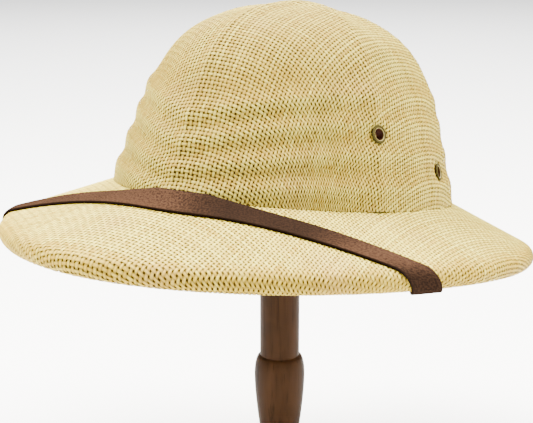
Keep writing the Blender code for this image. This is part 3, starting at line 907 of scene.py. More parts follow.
@dataclass(frozen=True)
class BrimForm:
    """The brim's sloping top, round lip, underside and opening edge, in the hat's own frame."""

    crown: CrownForm = CrownForm()
    half_width: float = 140.0 * MM
    front_reach: float = 182.5 * MM
    back_reach: float = 169.5 * MM
    side_drop: float = 19.1 * MM
    front_drop: float = 24.3 * MM
    back_drop: float = 22.1 * MM
    lip_radius: float = 5.5 * MM
    root_thickness: float = 4.0 * MM
    edge_radius: float = 5.0 * MM
    solver_rounds: int = 30

    def _tangent(self, across: Array, down: Array, side: float) -> Tuple[Array, Array]:
        """Straight lines to the lip's circle.

        Args:
            across: How far out its middle lies.
            down: How far down it lies.
            side: -1 for the line over it, 1 for the line under it.

        Returns:
            Their slopes and lengths.
        """
        reach = np.hypot(across, down)
        slope = np.arctan2(down, across) + side * np.arcsin(self.lip_radius / reach)
        return slope, np.sqrt(reach ** 2 - self.lip_radius ** 2)

    def section(self, theta: Array) -> Section:
        """Cuts the brim.

        Args:
            theta: Angles from the hat's front.

        Returns:
            The cuts.
        """
        wide, long = self.crown.half_width, self.crown.half_length
        wall, tall = self.crown.wall, self.crown.height
        c, s = np.cos(theta), np.sin(theta)
        reach_y = np.where(c > 0.0, self.front_reach, self.back_reach)
        drop_y = np.where(c > 0.0, self.front_drop, self.back_drop)
        drop = self.side_drop + (drop_y - self.side_drop) * c * c
        root = np.stack((wide * s, -long * c), axis=-1)
        reach = np.stack((self.half_width * s, -reach_y * c), axis=-1) - root
        span = np.linalg.norm(reach, axis=-1)
        out = reach / span[..., None]

        inner = np.stack(((wide - wall) * s, -(long - wall) * c), axis=-1)
        square = np.stack((long * s, -wide * c), axis=-1)
        narrowing = self.crown.taper / (tall - wall)
        lean = np.arctan(narrowing * (inner * square).sum(-1) / (out * square).sum(-1))
        edge_x = ((inner - root) * out).sum(-1) + self.root_thickness * np.tan(lean)

        lip_x, lip_z = span - self.lip_radius, -drop - self.lip_radius
        top_angle, top_run = self._tangent(lip_x, -lip_z, -1.0)
        under_angle, under_run = self._tangent(lip_x - edge_x, -lip_z - self.root_thickness, 1.0)
        edge_turn = 0.5 * math.pi - under_angle - lean
        edge_cut = self.edge_radius * np.tan(0.5 * edge_turn)
        lip_run = self.lip_radius * (math.pi + under_angle - top_angle)
        under_start, under_run = top_run + lip_run, under_run - edge_cut
        return Section(root, out, span, top_angle, top_run, lip_run, under_start, under_angle,
                       under_run, under_start + under_run, self.edge_radius * edge_turn)

    def skin(self, theta: Array, along: Array, off: Amount = 0.0) -> Array:
        """Places on or off the brim's skin at angles from the hat's front."""
        return self.cut_skin(self.section(theta), along, off)

    def cut_skin(self, cut: Section, along: Array, off: Amount = 0.0) -> Array:
        """Places on or off the skin of known cuts.

        Args:
            cut: The cuts.
            along: How far from the crown's foot, over the lip.
            off: How far off the skin.

        Returns:
            The points.
        """
        top = np.minimum(along, cut.top_run)
        lip = np.clip(along - cut.top_run, 0.0, cut.lip_run)
        under = np.clip(along - cut.under_start, 0.0, cut.under_run)
        edge = np.clip(along - cut.edge_start, 0.0, cut.edge_run)
        swung = cut.top_angle + lip / self.lip_radius
        turn = swung + edge / self.edge_radius
        level = math.pi + cut.under_angle
        x = top * np.cos(cut.top_angle) + self.lip_radius * (np.sin(swung) - np.sin(cut.top_angle))
        x = x + under * np.cos(level) + self.edge_radius * (np.sin(turn) - np.sin(swung))
        z = -top * np.sin(cut.top_angle) + self.lip_radius * (np.cos(swung) - np.cos(cut.top_angle))
        z = z - under * np.sin(level) + self.edge_radius * (np.cos(turn) - np.cos(swung))
        flat = cut.root + cut.out * (x + off * np.sin(turn))[..., None]
        return np.concatenate((flat, (z + off * np.cos(turn))[..., None]), axis=-1)

    def around(self, x: Array, y: Array) -> Tuple[Array, Array]:
        """Finds the cut that passes over a place on the plan.

        Args:
            x: Places across the hat.
            y: Places along the hat.

        Returns:
            The cuts' angles, and how far from the crown's foot the places lie, on the level.
        """
        reach_y = np.where(y < 0.0, self.front_reach, self.back_reach)
        wide, long = self.crown.half_width, self.crown.half_length
        more_x, more_y = self.half_width - wide, reach_y - long
        part = np.zeros_like(x)
        for _ in range(self.solver_rounds):
            a, b = wide + more_x * part, long + more_y * part
            miss = (x / a) ** 2 + (y / b) ** 2 - 1.0
            rate = -2.0 * (x ** 2 * more_x / a ** 3 + y ** 2 * more_y / b ** 3)
            part = np.clip(part - miss / np.minimum(rate, -1e-3), -1.0, 2.5)
        theta = np.arctan2(x / (wide + more_x * part), -y / (long + more_y * part))
        return theta, part * self.section(theta).span


# ---------------------------------------------------------------- weaving
class Thread(Enum):
    """The two sets of threads in a plain weave."""

    WARP = 0  # runs along the hat
    WEFT = 1  # runs across it


STRAY_SEED = 100  # added to a weave's seed for its crossings' strays


class ClothNet(NamedTuple):
    """Where the threads of a cloth cross, across the hat and then along it.

    ``room`` says how far inside the cloth's edge a crossing lies, ``pressed`` how much of its
    thickness is left there, and the last how much paler its straw is, as painted light and shade.
    """

    points: Array
    normals: Array
    room: Array
    pressed: Array
    painted_shading: Array

    def turned(self) -> "ClothNet":
        """The same net with its two directions swapped."""
        return ClothNet(*(part.swapaxes(0, 1) for part in self))


@dataclass(frozen=True)
class Weave:
    """Plain weave of flat strands."""

    pitch: float = 2.3 * MM
    fill: float = 0.61  # a strand's width as a share of the threads' spacing
    rise: float = 0.10 * MM  # of a strand over its neighbours
    arch: float = 0.10 * MM  # of a strand's middle over its edges
    edge_shade: float = 1.0  # how far painted shade darkens its edges
    lift: float = 0.40 * MM  # of the cloth's middle off the stiffening
    parts_across: Tuple[float, ...] = (-1.0, -0.5, 0.5, 1.0)
    uneven: float = 0.10  # share by which strands differ in width
    wander: float = 0.14 * MM  # by which crossings stray from an even net
    tones: float = 0.28  # by which strands differ in tone
    narrowest: float = 0.35  # spacing that a strand's width follows, in pitches
    widest: float = 1.2
    at_edge: float = 0.8  # spacing where a thread has no neighbour
    fibre_shift: float = 17.3  # of the fibres from one strand to the next
    drift: float = 0.12  # of the tone along a strand
    drift_rate: float = 0.13
    drift_shift: float = 2.4
    seed: int = 7


class RibbonMesh:
    """Strands of a cloth, gathered into one mesh with maps for their finish and their bake."""

    STRAND_MAP = "strand"
    BAKE_MAP = "OFBake"
    THREAD = "thread"
    ROOM, PRESSED, WAVE, WIDE, TINT = range(6, 11)  # columns after a station's point and normal

    def __init__(self, weave: Weave) -> None:
        """Starts an empty set of strands that follow a weave."""
        self.weave = weave
        self.gathered: List[Tuple[Array, ...]] = []
        self.count = 0
        self.rows = 0

    @staticmethod
    def _stations(net: ClothNet, wave: Array, wide: Array) -> Array:
        """Two stations for each crossing, a quarter of a cell before and after it.

        Args:
            net: The crossings, with strands along the second axis.
            wave: 1 where a strand passes over at a crossing and -1 where it passes under.
            wide: The strands' half width at the crossings.

        Returns:
            For each station: point, normal, room, pressing, wave, half width and painted light and
                shade.
        """
        extras = np.stack((net.room, net.pressed, wave, wide, net.painted_shading), axis=-1)
        at = np.concatenate((net.points, net.normals, extras), axis=-1)
        ahead, behind = np.full_like(at, np.nan), np.full_like(at, np.nan)
        ahead[:, :-1] = behind[:, 1:] = at[:, 1:] - at[:, :-1]
        ahead = np.where(np.isfinite(ahead), ahead, behind)
        behind = np.where(np.isfinite(behind), behind, ahead)
        both = np.empty((at.shape[0], 2 * at.shape[1], at.shape[2]))
        both[:, 0::2] = at - 0.25 * behind
        both[:, 1::2] = at + 0.25 * ahead
        both[..., RibbonMesh.WAVE] = np.repeat(wave, 2, axis=1)
        return both

    @staticmethod
    def _trimmed(both: Array) -> Tuple[Array, Array]:
        """Ends strands on the cloth's edge.

        Args:
            both: The stations.

        Returns:
            The stations with the end ones moved onto the edge, and which of them are used.
        """
        room = both[..., RibbonMesh.ROOM]
        known = np.isfinite(both).all(axis=-1)
        inside = known & (room > 0.0)
        used, moved = inside.copy(), both.copy()
        for step, last in ((1, -1), (-1, 0)):
            near = inside & ~np.roll(inside, -step, axis=1) & np.roll(known, -step, axis=1)
            near[:, last] = False
            row, k = np.nonzero(near)
            share = room[row, k] / np.maximum(room[row, k] - room[row, k + step], 1e-9)
            share = np.clip(share, 0.0, 1.0)[:, None]
            moved[row, k + step] = both[row, k] * (1.0 - share) + both[row, k + step] * share
            used[row, k + step] = True
        return moved, used

    def _half_widths(self, net: ClothNet, width: Array) -> Array:
        """Half widths of strands, which follow the threads' spacing.

        Args:
            net: The crossings, with strands along the second axis.
            width: Each strand's own factor.

        Returns:
            The half widths at the crossings.
        """
        weave = self.weave
        step, beside = np.gradient(net.points, axis=1), np.gradient(net.points, axis=0)
        spacing = np.linalg.norm(np.cross(beside, unit(step)), axis=-1)
        spacing = np.where(np.isfinite(spacing), spacing, weave.at_edge * weave.pitch)
        spacing = np.clip(spacing, weave.narrowest * weave.pitch, weave.widest * weave.pitch)
        return 0.5 * weave.fill * spacing * width[:, None]

    def _laid(self, both: Array, used: Array) -> Array:
        """Points across each strand at its stations.

        Args:
            both: The stations.
            used: Which of them are used.

        Returns:
            The points, along the strands and then across them.
        """
        weave, parts = self.weave, np.array(self.weave.parts_across)
        point, normal = both[..., 0:3], unit(both[..., 3:6])
        after, before = np.roll(used, -1, axis=1), np.roll(used, 1, axis=1)
        after[:, -1] = before[:, 0] = False
        next_one = np.where(after[..., None], np.roll(point, -1, axis=1), point)
        last_one = np.where(before[..., None], np.roll(point, 1, axis=1), point)
        side = unit(np.cross(normal, next_one - last_one))
        above = (weave.lift + weave.rise * both[..., self.WAVE]) * both[..., self.PRESSED]
        middle = point + normal * above[..., None]
        arch = weave.arch * (1.0 - parts ** 2)
        offs = side[..., None, :] * (both[..., self.WIDE][..., None] * parts)[..., None]
        offs = offs + normal[..., None, :] * (arch - arch.max())[:, None]
        return middle[..., None, :] + offs

    def add(self, net: ClothNet, thread: Thread) -> None:
        """Adds all strands of one direction.

        Args:
            net: Where the threads cross.
            thread: Which of the two sets to add.
        """
        weave = self.weave
        number = np.add.outer(*(np.arange(size) for size in net.room.shape))
        wave = np.where((number + thread.value) % 2 == 0, 1.0, -1.0)
        if thread is Thread.WEFT:
            net, wave = net.turned(), wave.T
        random = np.random.default_rng(weave.seed + thread.value)
        strands = net.room.shape[0]
        width = 1.0 + weave.uneven * normal_draws(random, strands)
        tone = 0.5 + weave.tones * normal_draws(random, strands)
        wide = self._half_widths(net, width)
        both, used = self._trimmed(self._stations(net, wave, wide))
        verts = self._laid(both, used)

        parts = np.array(weave.parts_across)
        row, k = np.nonzero(used)
        index = np.full(used.shape, -1)
        index[row, k] = self.count + np.arange(len(row)) * len(parts)
        joined = used[:, :-1] & used[:, 1:]
        start, stop = (ends[joined][:, None] + np.arange(len(parts) - 1)
                       for ends in (index[:, :-1], index[:, 1:]))
        faces = np.stack((start, start + 1, stop + 1, stop), axis=-1)

        shape = (len(row), len(parts))
        row_over, k_over = (np.broadcast_to(of[:, None], shape) for of in (row, k))
        fibres = (0.5 * k_over + weave.fibre_shift * row_over, row_over + 0.5 + 0.45 * parts)
        strips = (k_over, row_over + self.rows + 0.5 + 0.4 * parts)
        drift = weave.drift * np.sin(weave.drift_rate * k + weave.drift_shift * row)
        # The first channel adds the net's painted light and shade to each strand's own tone.
        shade = (
            (tone[row] + drift + both[row, k, self.TINT])[:, None],
            (0.5 + 0.5 * both[row, k, self.WAVE])[:, None],
            weave.edge_shade * np.abs(parts), 1.0)
        layers = (fibres, strips, np.clip(np.broadcast_arrays(*shade), 0.0, 1.0))
        self.gathered.append((verts[row, k].reshape(-1, 3), faces.reshape(-1, 4)) + tuple(
            np.stack(layer, axis=-1).reshape(-1, len(layer)) for layer in layers))
        self.count += len(row) * len(parts)
        self.rows += strands

    def mesh(self, name: str, seat: HatSeat) -> bpy.types.Mesh:
        """Makes the mesh, in the row frame.

        Args:
            name: The mesh's name.
            seat: How the hat sits on its stand.

        Returns:
            The mesh.
        """
        verts, faces, fibres, strips, shade = map(np.concatenate, zip(*self.gathered))
        made = bpy.data.meshes.new(name)
        made.from_pydata(seat.to_row(verts).tolist(), [], faces.tolist())
        corners = faces.reshape(-1)
        add_map(made, self.STRAND_MAP, corners, fibres)
        strips = strips / (strips[:, 0].max() + 1.0, float(self.rows))
        add_map(made, self.BAKE_MAP, corners, strips)
        thread = made.attributes.new(self.THREAD, "FLOAT_COLOR", "POINT")
        thread.data.foreach_set("color", shade.astype(np.float32).reshape(-1))
        made.shade_smooth()
        made.update()
        return made


# ---------------------------------------------------------------- the hat's cloth
@dataclass
class Cloth:
    """Woven straw over one part of the hat, on its outer side and on its hidden one."""

    PART: ClassVar[str]
    HIDDEN_SIDE: ClassVar[str]

    seat: HatSeat = HatSeat()
    weave: Weave = Weave()
    hidden_weave: Weave = Weave()

    def net(self, hidden: bool) -> ClothNet:
        """Lays the cloth of one side."""
        raise NotImplementedError

    def build(self, straw: Material, inner: Material) -> None:
        """Weaves the outer side, one piece for each set of threads, and the hidden one.

        Args:
            straw: The material of the outer side.
            inner: The material of the hidden side.
        """
        outside, inside = self.net(False), self.net(True)
        for thread in Thread:
            self._piece(thread.name.lower(), outside, self.weave, [thread], straw)
        self._piece(self.HIDDEN_SIDE, inside, self.hidden_weave, list(Thread), inner)

    def _piece(self, label: str, net: ClothNet, weave: Weave, threads: Sequence[Thread],
               finish: Material) -> None:
        """Weaves one piece.

        Args:
            label: The end of its name.
            net: Where its threads cross.
            weave: Its weave.
            threads: Which of its threads it has.
            finish: Its material.
        """
        strands = RibbonMesh(weave)
        for thread in threads:
            strands.add(net, thread)
        name = "%s_cloth_%s" % (self.PART, label)
        link(name, strands.mesh(name, self.seat), finish)


@dataclass
class CrownCloth(Cloth):
    """Woven straw over the crown, outside and inside."""

    PART = "crown"
    HIDDEN_SIDE = "inside"

    form: CrownForm = CrownForm()
    hidden_weave: Weave = Weave(pitch=2.9 * MM, parts_across=(-1.0, 0.0, 1.0), seed=31)
    hole_radius: float = 4.3 * MM  # cut in the cloth for an eyelet
    press_radius: float = 5.0 * MM  # an eyelet's rim presses the cloth down to here
    press_fade: float = 4.5 * MM
    pressed_to: float = 0.35
    fold_painted_shading: float = 0.75  # painted highlight and shade: how much paler a pleat's crest is than its foot
    fold_middle: float = 0.60
    fold_lowered: float = 2.2 * MM  # of the painted highlight's palest straw below the crest
    crest_painted_highlight: float = 0.55  # painted highlight: how much paler a narrow line along the crest is
    crest_reach: float = 1.5 * MM
    crest_lowered: float = 1.6 * MM
    folds_end: float = 0.72  # share of the height where this painted light and shade has faded out
    folds_full: float = 0.50
    foot_painted_light: float = 0.45  # painted light: how much paler the crown's foot is
    foot_reach: float = 11.0 * MM
    side_painted_light: float = 0.22  # painted light: how much paler the side panels are than the front ones
    side_over: float = 3.0  # degrees over which that changes

    def net(self, hidden: bool) -> ClothNet:
        """Lays the cloth.

        Args:
            hidden: Whether it lies on the wall's inside.

        Returns:
            The laid cloth.
        """
        inset = self.form.wall if hidden else 0.0
        weave = self.hidden_weave if hidden else self.weave
        laid = self.form.drape(weave.pitch, inset)
        theta, share = self.form.spread(laid, inset)
        outward = unit(self.form.level(laid, inset)[1])
        room, free = self._round_eyelets(laid, share * self.form.height)
        if hidden:
            points, normals, painted_shading = laid, -outward, np.zeros_like(room)
        else:
            points = laid + outward * self.form.relief(theta, share, free)[..., None]
            facing = unit(np.cross(np.gradient(points, axis=0), np.gradient(points, axis=1)))
            facing = facing * np.sign((facing * outward).sum(-1))[..., None]
            normals = np.where(np.isfinite(facing), facing, outward)
            # painted light and shade on the crown's straw, by place
            painted_shading = self._painted_shading(theta, share)
        random = np.random.default_rng(weave.seed + STRAY_SEED)
        stray = 0.5 * weave.wander * normal_draws(random, points.shape)
        points = points + (stray - normals * (stray * normals).sum(-1)[..., None])
        pressed = self.pressed_to + (1.0 - self.pressed_to) * free
        return ClothNet(points, normals, room, pressed, painted_shading)

    def _round_eyelets(self, laid: Array, room: Array) -> Tuple[Array, Array]:
        """Cuts the cloth at the eyelets and presses it down round them.

        Args:
            laid: The crossings.
            room: How far inside the cloth's edge they lie.

        Returns:
            The same with the holes' edges, and how freely the cloth stands off, from 0 to 1.
        """
        free = np.ones_like(room)
        for place in eyelet_places():
            middle, axis = eyelet_axis(self.form, place)
            away = laid - middle
            level = (away * axis).sum(-1)
            reach = np.linalg.norm(away - level[..., None] * axis, axis=-1)
            near = np.abs(level) < 0.5 * self.form.half_width
            room = np.where(near, np.minimum(room, reach - self.hole_radius), room)
            fade = eased(reach, self.press_radius, self.press_radius + self.press_fade)
            free = np.where(near, np.minimum(free, fade), free)
        return room, free

    def _painted_shading(self, theta: Array, share: Array) -> Array:
        """Painted light and shade on the straw: paler on the pleats' crests, at the foot and on the
        sides, darker between pleats.

        Args:
            theta: Angles from the hat's front.
            share: Shares of the height.

        Returns:
            The painted light and shade.
        """
        form = self.form
        folded = form.near_pleat(theta, share + self.fold_lowered / form.height,
                                 form.fold_fade_above, form.fold_fade_below)
        crest = form.near_pleat(theta, share + self.crest_lowered / form.height,
                                self.crest_reach, self.crest_reach)
        painted_shading = self.fold_painted_shading * (folded - self.fold_middle) + self.crest_painted_highlight * crest
        painted_shading = painted_shading * eased(-share, -self.folds_end, -self.folds_full)
        painted_shading = painted_shading + self.foot_painted_light * eased(-share * form.height, -self.foot_reach, 0.0)
        front, seam = np.degrees(off_front(theta)), form.seam_angles[1]
        sides = eased(front, seam - self.side_over, seam + self.side_over)
        return painted_shading + self.side_painted_light * (sides - 0.5)


@dataclass
class BrimCloth(Cloth):
    """Woven straw over the brim: one cloth over its top and lip, one on its underside."""

    PART = "brim"
    HIDDEN_SIDE = "under"

    form: BrimForm = BrimForm()
    weave: Weave = Weave(
        rise=0.12 * MM, arch=0.06 * MM, edge_shade=0.5, parts_across=(-1.0, 0.0, 1.0), seed=53)
    hidden_weave: Weave = Weave(fill=0.66, parts_across=(-1.0, 0.0, 1.0), seed=71)
    top_starts: float = 0.4 * MM
    turned_under: float = 2.0 * MM  # the top cloth's reach beyond the lip
    beyond: float = 20.0 * MM  # the level net's reach past the lip
    kept_beyond: float = 8.0 * MM  # the laid net's reach past the cloth's edges
    level_pitch: float = 1.75 * MM  # seen from above, before the cloth is stretched
    front_spread: float = 20.0  # per square metre: threads flare out to front and back
    side_spread: float = 40.0  # and to the sides
    side_stretch: float = 3.0
    front_stretch: float = 6.0
    top_tint: float = 0.12
    lip_painted_shade: float = 0.72  # painted shade: how much darker the lip's straw is
    lip_fade: float = 9.0 * MM

    def _plan(self) -> Tuple[Array, Array]:
        """A level net of crossings that reaches past the lip all round.

        Returns:
            The crossings' X and Y.
        """
        reaches = (self.form.half_width + self.beyond, self.form.front_reach + self.beyond)
        steps = (math.ceil(reach / self.level_pitch) for reach in reaches)
        lines = ((np.arange(-step, step + 1) + 0.5) * self.level_pitch for step in steps)
        a, b = np.meshgrid(*lines, indexing="ij")
        x = a * (1.0 + self.front_spread * b * b) * (1.0 + self.side_stretch * a * a)
        y = b * (1.0 + self.side_spread * a * a) * (1.0 + self.front_stretch * b * b)
        return x, y

    def net(self, hidden: bool) -> ClothNet:
        """Lays the cloth.

        Args:
            hidden: Whether it lies on the underside.

        Returns:
            The laid cloth.
        """
        form, weave = self.form, self.hidden_weave if hidden else self.weave
        random = np.random.default_rng(weave.seed + STRAY_SEED)
        x, y = (even + 0.5 * weave.wander * normal_draws(random, even.shape)
                for even in self._plan())
        theta, level = form.around(x, y)
        cut = form.section(theta)
        seam = cut.under_start + self.turned_under
        if hidden:
            lip_x = cut.span - form.lip_radius * (1.0 + np.sin(cut.under_angle))
            along = cut.under_start + (lip_x - level) / np.cos(cut.under_angle)
            room = np.minimum(along - seam, cut.edge_start + cut.edge_run - along)
        else:
            along = level / np.cos(cut.top_angle)
            room = np.minimum(along - self.top_starts, seam - along)
        points = form.cut_skin(cut, along)
        normals = (form.cut_skin(cut, along, MM) - points) / MM
        points[room < -self.kept_beyond] = np.nan
        # painted shade darkens the straw towards and over the lip
        lip = eased(along, cut.top_run - self.lip_fade, cut.top_run + 0.5 * self.lip_fade)
        painted_shading = self.top_tint - self.lip_painted_shade * lip
        return ClothNet(points, normals, room, np.ones_like(room), painted_shading)


# ---------------------------------------------------------------- eyelets
EYELETS_PER_SIDE = (
    EyeletPlace(from_front=math.radians(68.0), height_share=0.368),
    EyeletPlace(from_front=math.radians(103.0), height_share=0.185))


def eyelet_places() -> List[EyeletPlace]:
    """The eyelets of both sides of the hat."""
    mirrored = [place._replace(from_front=-place.from_front) for place in EYELETS_PER_SIDE]
    return list(EYELETS_PER_SIDE) + mirrored


def eyelet_axis(form: CrownForm, place: EyeletPlace) -> Tuple[Array, Array]:
    """An eyelet's middle on the smooth form and the way out, in the hat's own frame."""
    middle = form.point(np.array(place.from_front), np.array(place.height_share))
    return middle, unit(form.level(middle, 0.0)[1])


@dataclass
class Eyelets:
    """Turned brass eyelets: a rolled rim with a rubbed inner lip and a barrel through the wall."""

    MAP: ClassVar[str] = "rim"

    seat: HatSeat = HatSeat()
    form: CrownForm = CrownForm()
    section: Tuple[Pair, ...] = (  # radius and height in millimetres
        (4.70, 0.00), (4.88, 0.12), (4.95, 0.38), (4.86, 0.66), (4.62, 0.86), (4.28, 0.93),
        (3.98, 0.82), (3.72, 0.74), (3.50, 0.78), (3.32, 0.70), (3.20, 0.50), (3.12, 0.10),
        (3.10, -1.20), (3.10, -4.90), (3.85, -4.90), (3.90, -4.70), (3.90, 0.00))
    rim_samples: int = 16
    rim_reach: float = 4.6 * MM  # where the ground under it is measured
    proud: float = 0.10 * MM  # of the highest ground under its rim
    segments: int = 48

    def _placing(self, place: EyeletPlace) -> Matrix:
        """Stands an eyelet on the cloth, in the row frame.

        Args:
            place: Where it sits.

        Returns:
            Its placing, with +Z out of the wall.
        """
        middle, outward = eyelet_axis(self.form, place)
        turn = np.arange(self.rim_samples) * 2.0 * math.pi / self.rim_samples
        beside = place.from_front + self.rim_reach * np.cos(turn) / self.form.half_width
        above = place.height_share + self.rim_reach * np.sin(turn) / self.form.height
        smooth = self.form.point(beside, above)
        normals = unit(self.form.level(smooth, 0.0)[1])
        ground = smooth + normals * self.form.relief(beside, above)[:, None]
        highest = max(0.0, float(((ground - middle) @ outward).max()))
        seat = middle + outward * (highest + self.proud)
        spot = self.seat.to_row(seat)
        out = self.seat.to_row(seat + outward) - spot
        along = unit(np.cross((0.0, 0.0, 1.0), out))
        turned_to = np.stack((along, np.cross(out, along), out), axis=1)
        return Matrix.Translation(Vector(spot)) @ Matrix(turned_to.tolist()).to_4x4()

    def build(self, finish: Material) -> None:
        """Turns one eyelet and copies it to its four places.

        Args:
            finish: The brass.
        """
        rings = [(r * MM, z * MM) for r, z in self.section]
        first = turned("eyelet", rings, self.segments, hollow=True)
        mesh = first.data
        corners = np.empty(len(mesh.loops), dtype=int)
        mesh.loops.foreach_get("vertex_index", corners)
        share = np.arange(len(mesh.vertices)) // self.segments / (len(self.section) - 1.0)
        add_map(mesh, self.MAP, corners, np.stack((np.full_like(share, 0.5), share), axis=-1))
        for number, place in enumerate(eyelet_places(), start=1):
            copy = mesh.copy()
            copy.transform(self._placing(place))
            link("eyelet_rim_%d" % number, copy, finish, "eyelet_%d" % number)
        bpy.data.objects.remove(first)


# ---------------------------------------------------------------- chin strap
class Steps(NamedTuple):
    """Places on the brim's skin with their headings, walked straight ahead like flat ribbons."""

    theta: Array
    along: Array
    heading: Array


@dataclass
class ChinStrap:
    """Leather strap: from the opening's edge round the lip, over the brim, and in again.

    It lies flat on the brim like a straight ribbon, and in front its inner edge is propped up on
    the crown's foot.
    """

    MAP: ClassVar[str] = "strap"

    seat: HatSeat = HatSeat()
    form: BrimForm = BrimForm()
    width: float = 15.0 * MM
    thickness: float = 1.5 * MM
    gap: float = 0.66 * MM  # it stands this far off the stiffening
    lift: float = 4.5 * MM  # of its inner edge
    leaves_right: float = math.radians(15.0)
    leaves_left: float = math.radians(2.0)
    inner_edge: float = 3.2 * MM  # from the crown's foot line, along the brim
    end_margin: float = 1.0 * MM
    lift_fade: float = 41.0 * MM
    turn_start: float = 45.0 * MM  # before the lip its rows begin to turn parallel to it
    turn_end: float = 8.0 * MM
    stride: float = 1.5 * MM
    stride_parts: int = 3
    side_parts: int = 20
    columns: int = 11
    edge_rounding: float = 0.38 * MM
    edge_step: float = 0.3  # share of the rounding at its middle row of points
    probe_turn: float = 1e-3  # for directions on the skin, in radians
    probe_slide: float = 0.05 * MM

    def _axes(self, theta: Array, along: Array) -> Tuple[Array, Array]:
        """Directions on the skin.

        Args:
            theta: Angles from the hat's front.
            along: How far from the crown's foot.

        Returns:
            The way round the hat by one radian, and the way out from the crown.
        """
        turn, slide, skin = self.probe_turn, self.probe_slide, self.form.skin
        around = skin(theta + turn, along) - skin(theta - turn, along)
        out = skin(theta, along + slide) - skin(theta, along - slide)
        return around / (2.0 * turn), out / (2.0 * slide)

    def _walked(self, at: Steps, length: Array, parts: int) -> Steps:
        """Walks straight ahead on the skin.

        Args:
            at: Where the walks start.
            length: How far each goes.
            parts: Into how many steps it is cut.

        Returns:
            Where they end.
        """
        theta, along, heading = at
        for _ in range(parts):
            around, out = self._axes(theta, along)
            normal = unit(np.cross(out, around))
            heading = unit(heading - normal * (heading * normal).sum(-1)[..., None])
            aa, ao, oo = (around * around).sum(-1), (around * out).sum(-1), (out * out).sum(-1)
            ah, oh = (around * heading).sum(-1), (out * heading).sum(-1)
            share = length / parts / (aa * oo - ao * ao)
            theta = theta + (oo * ah - ao * oh) * share
            along = along + (aa * oh - ao * ah) * share
        return Steps(theta, along, heading)

    def _middle_line(self) -> Tuple[Steps, Array, Array]:
        """Stations along the strap's middle, from one end to the other.

        Returns:
            The stations, the side of the hat that each is on and how much each is lifted.
        """
        sides, leaves = np.array((-1.0, 1.0)), np.array((self.leaves_left, self.leaves_right))
        start_along = self.inner_edge + 0.5 * self.width
        halves = []
        for side, leave in zip(sides, leaves):
            count = math.ceil(leave * (self.form.crown.half_length + start_along) / self.stride)
            theta = side * leave * np.arange(count) / count
            along = np.full(count, start_along)
            heading = unit(self._axes(theta, along)[0]) * side
            halves.append([(theta[k], along[k], heading[k], 1.0) for k in range(count)])
        theta, along = sides * leaves, np.full(2, start_along)
        at = Steps(theta, along, unit(self._axes(theta, along)[0]) * sides[:, None])
        travelled, walking = 0.0, [True, True]
        while any(walking):
            lift = max(0.0, 1.0 - travelled / self.lift_fade)
            ends = self.form.section(at.theta).edge_start - self.end_margin
            for k in (0, 1):
                if walking[k]:
                    halves[k].append((at.theta[k], at.along[k], at.heading[k], lift))
                    walking[k] = at.along[k] < ends[k]
            with np.errstate(divide="ignore", invalid="ignore"):  # a side that has ended
                at = self._walked(at, np.full(2, self.stride), self.stride_parts)
            travelled += self.stride
        row = halves[0][:0:-1] + halves[1]
        side = np.repeat(sides, (len(halves[0]) - 1, len(halves[1])))
        steps = Steps(*(np.array([station[k] for station in row]) for k in range(3)))
        return steps, side, np.array([station[3] for station in row])

    def _faces_across(self) -> Tuple[Array, Array]:
        """The strap's lower face as rows of points.

        Returns:
            The points, and each column's place from -1 at the inner edge to 1.
        """
        line, side, lift = self._middle_line()
        around, out = self._axes(line.theta, line.along)
        square = np.cross(line.heading, unit(np.cross(out, around))) * side[:, None]
        before_lip = self.form.section(line.theta).top_run - line.along
        turn = np.clip((self.turn_start - before_lip) / (self.turn_start - self.turn_end), 0.0, 1.0)
        level = -unit(around) * side[:, None]
        row = unit(square + (level - square) * turn[:, None])
        reach = 0.5 * self.width / (row * square).sum(-1)
        corner = 2.0 * self.edge_rounding / self.width
        inner = np.linspace(-1.0 + corner, 1.0 - corner, self.columns - 4)
        rim = self.edge_step * corner
        part = np.concatenate(((-1.0, -1.0 + rim), inner, (1.0 - rim, 1.0)))
        shape = (len(side), len(part))
        heading = row[:, None, :] * np.sign(part)[None, :, None]
        start = Steps(np.broadcast_to(line.theta[:, None], shape),
                      np.broadcast_to(line.along[:, None], shape), heading)
        ends = self._walked(start, np.abs(part) * reach[:, None], self.side_parts)
        raised = self.gap + self.lift * lift[:, None] ** 2 * (0.5 - 0.5 * part) ** 1.5
        return self.form.skin(ends.theta, ends.along, raised), part

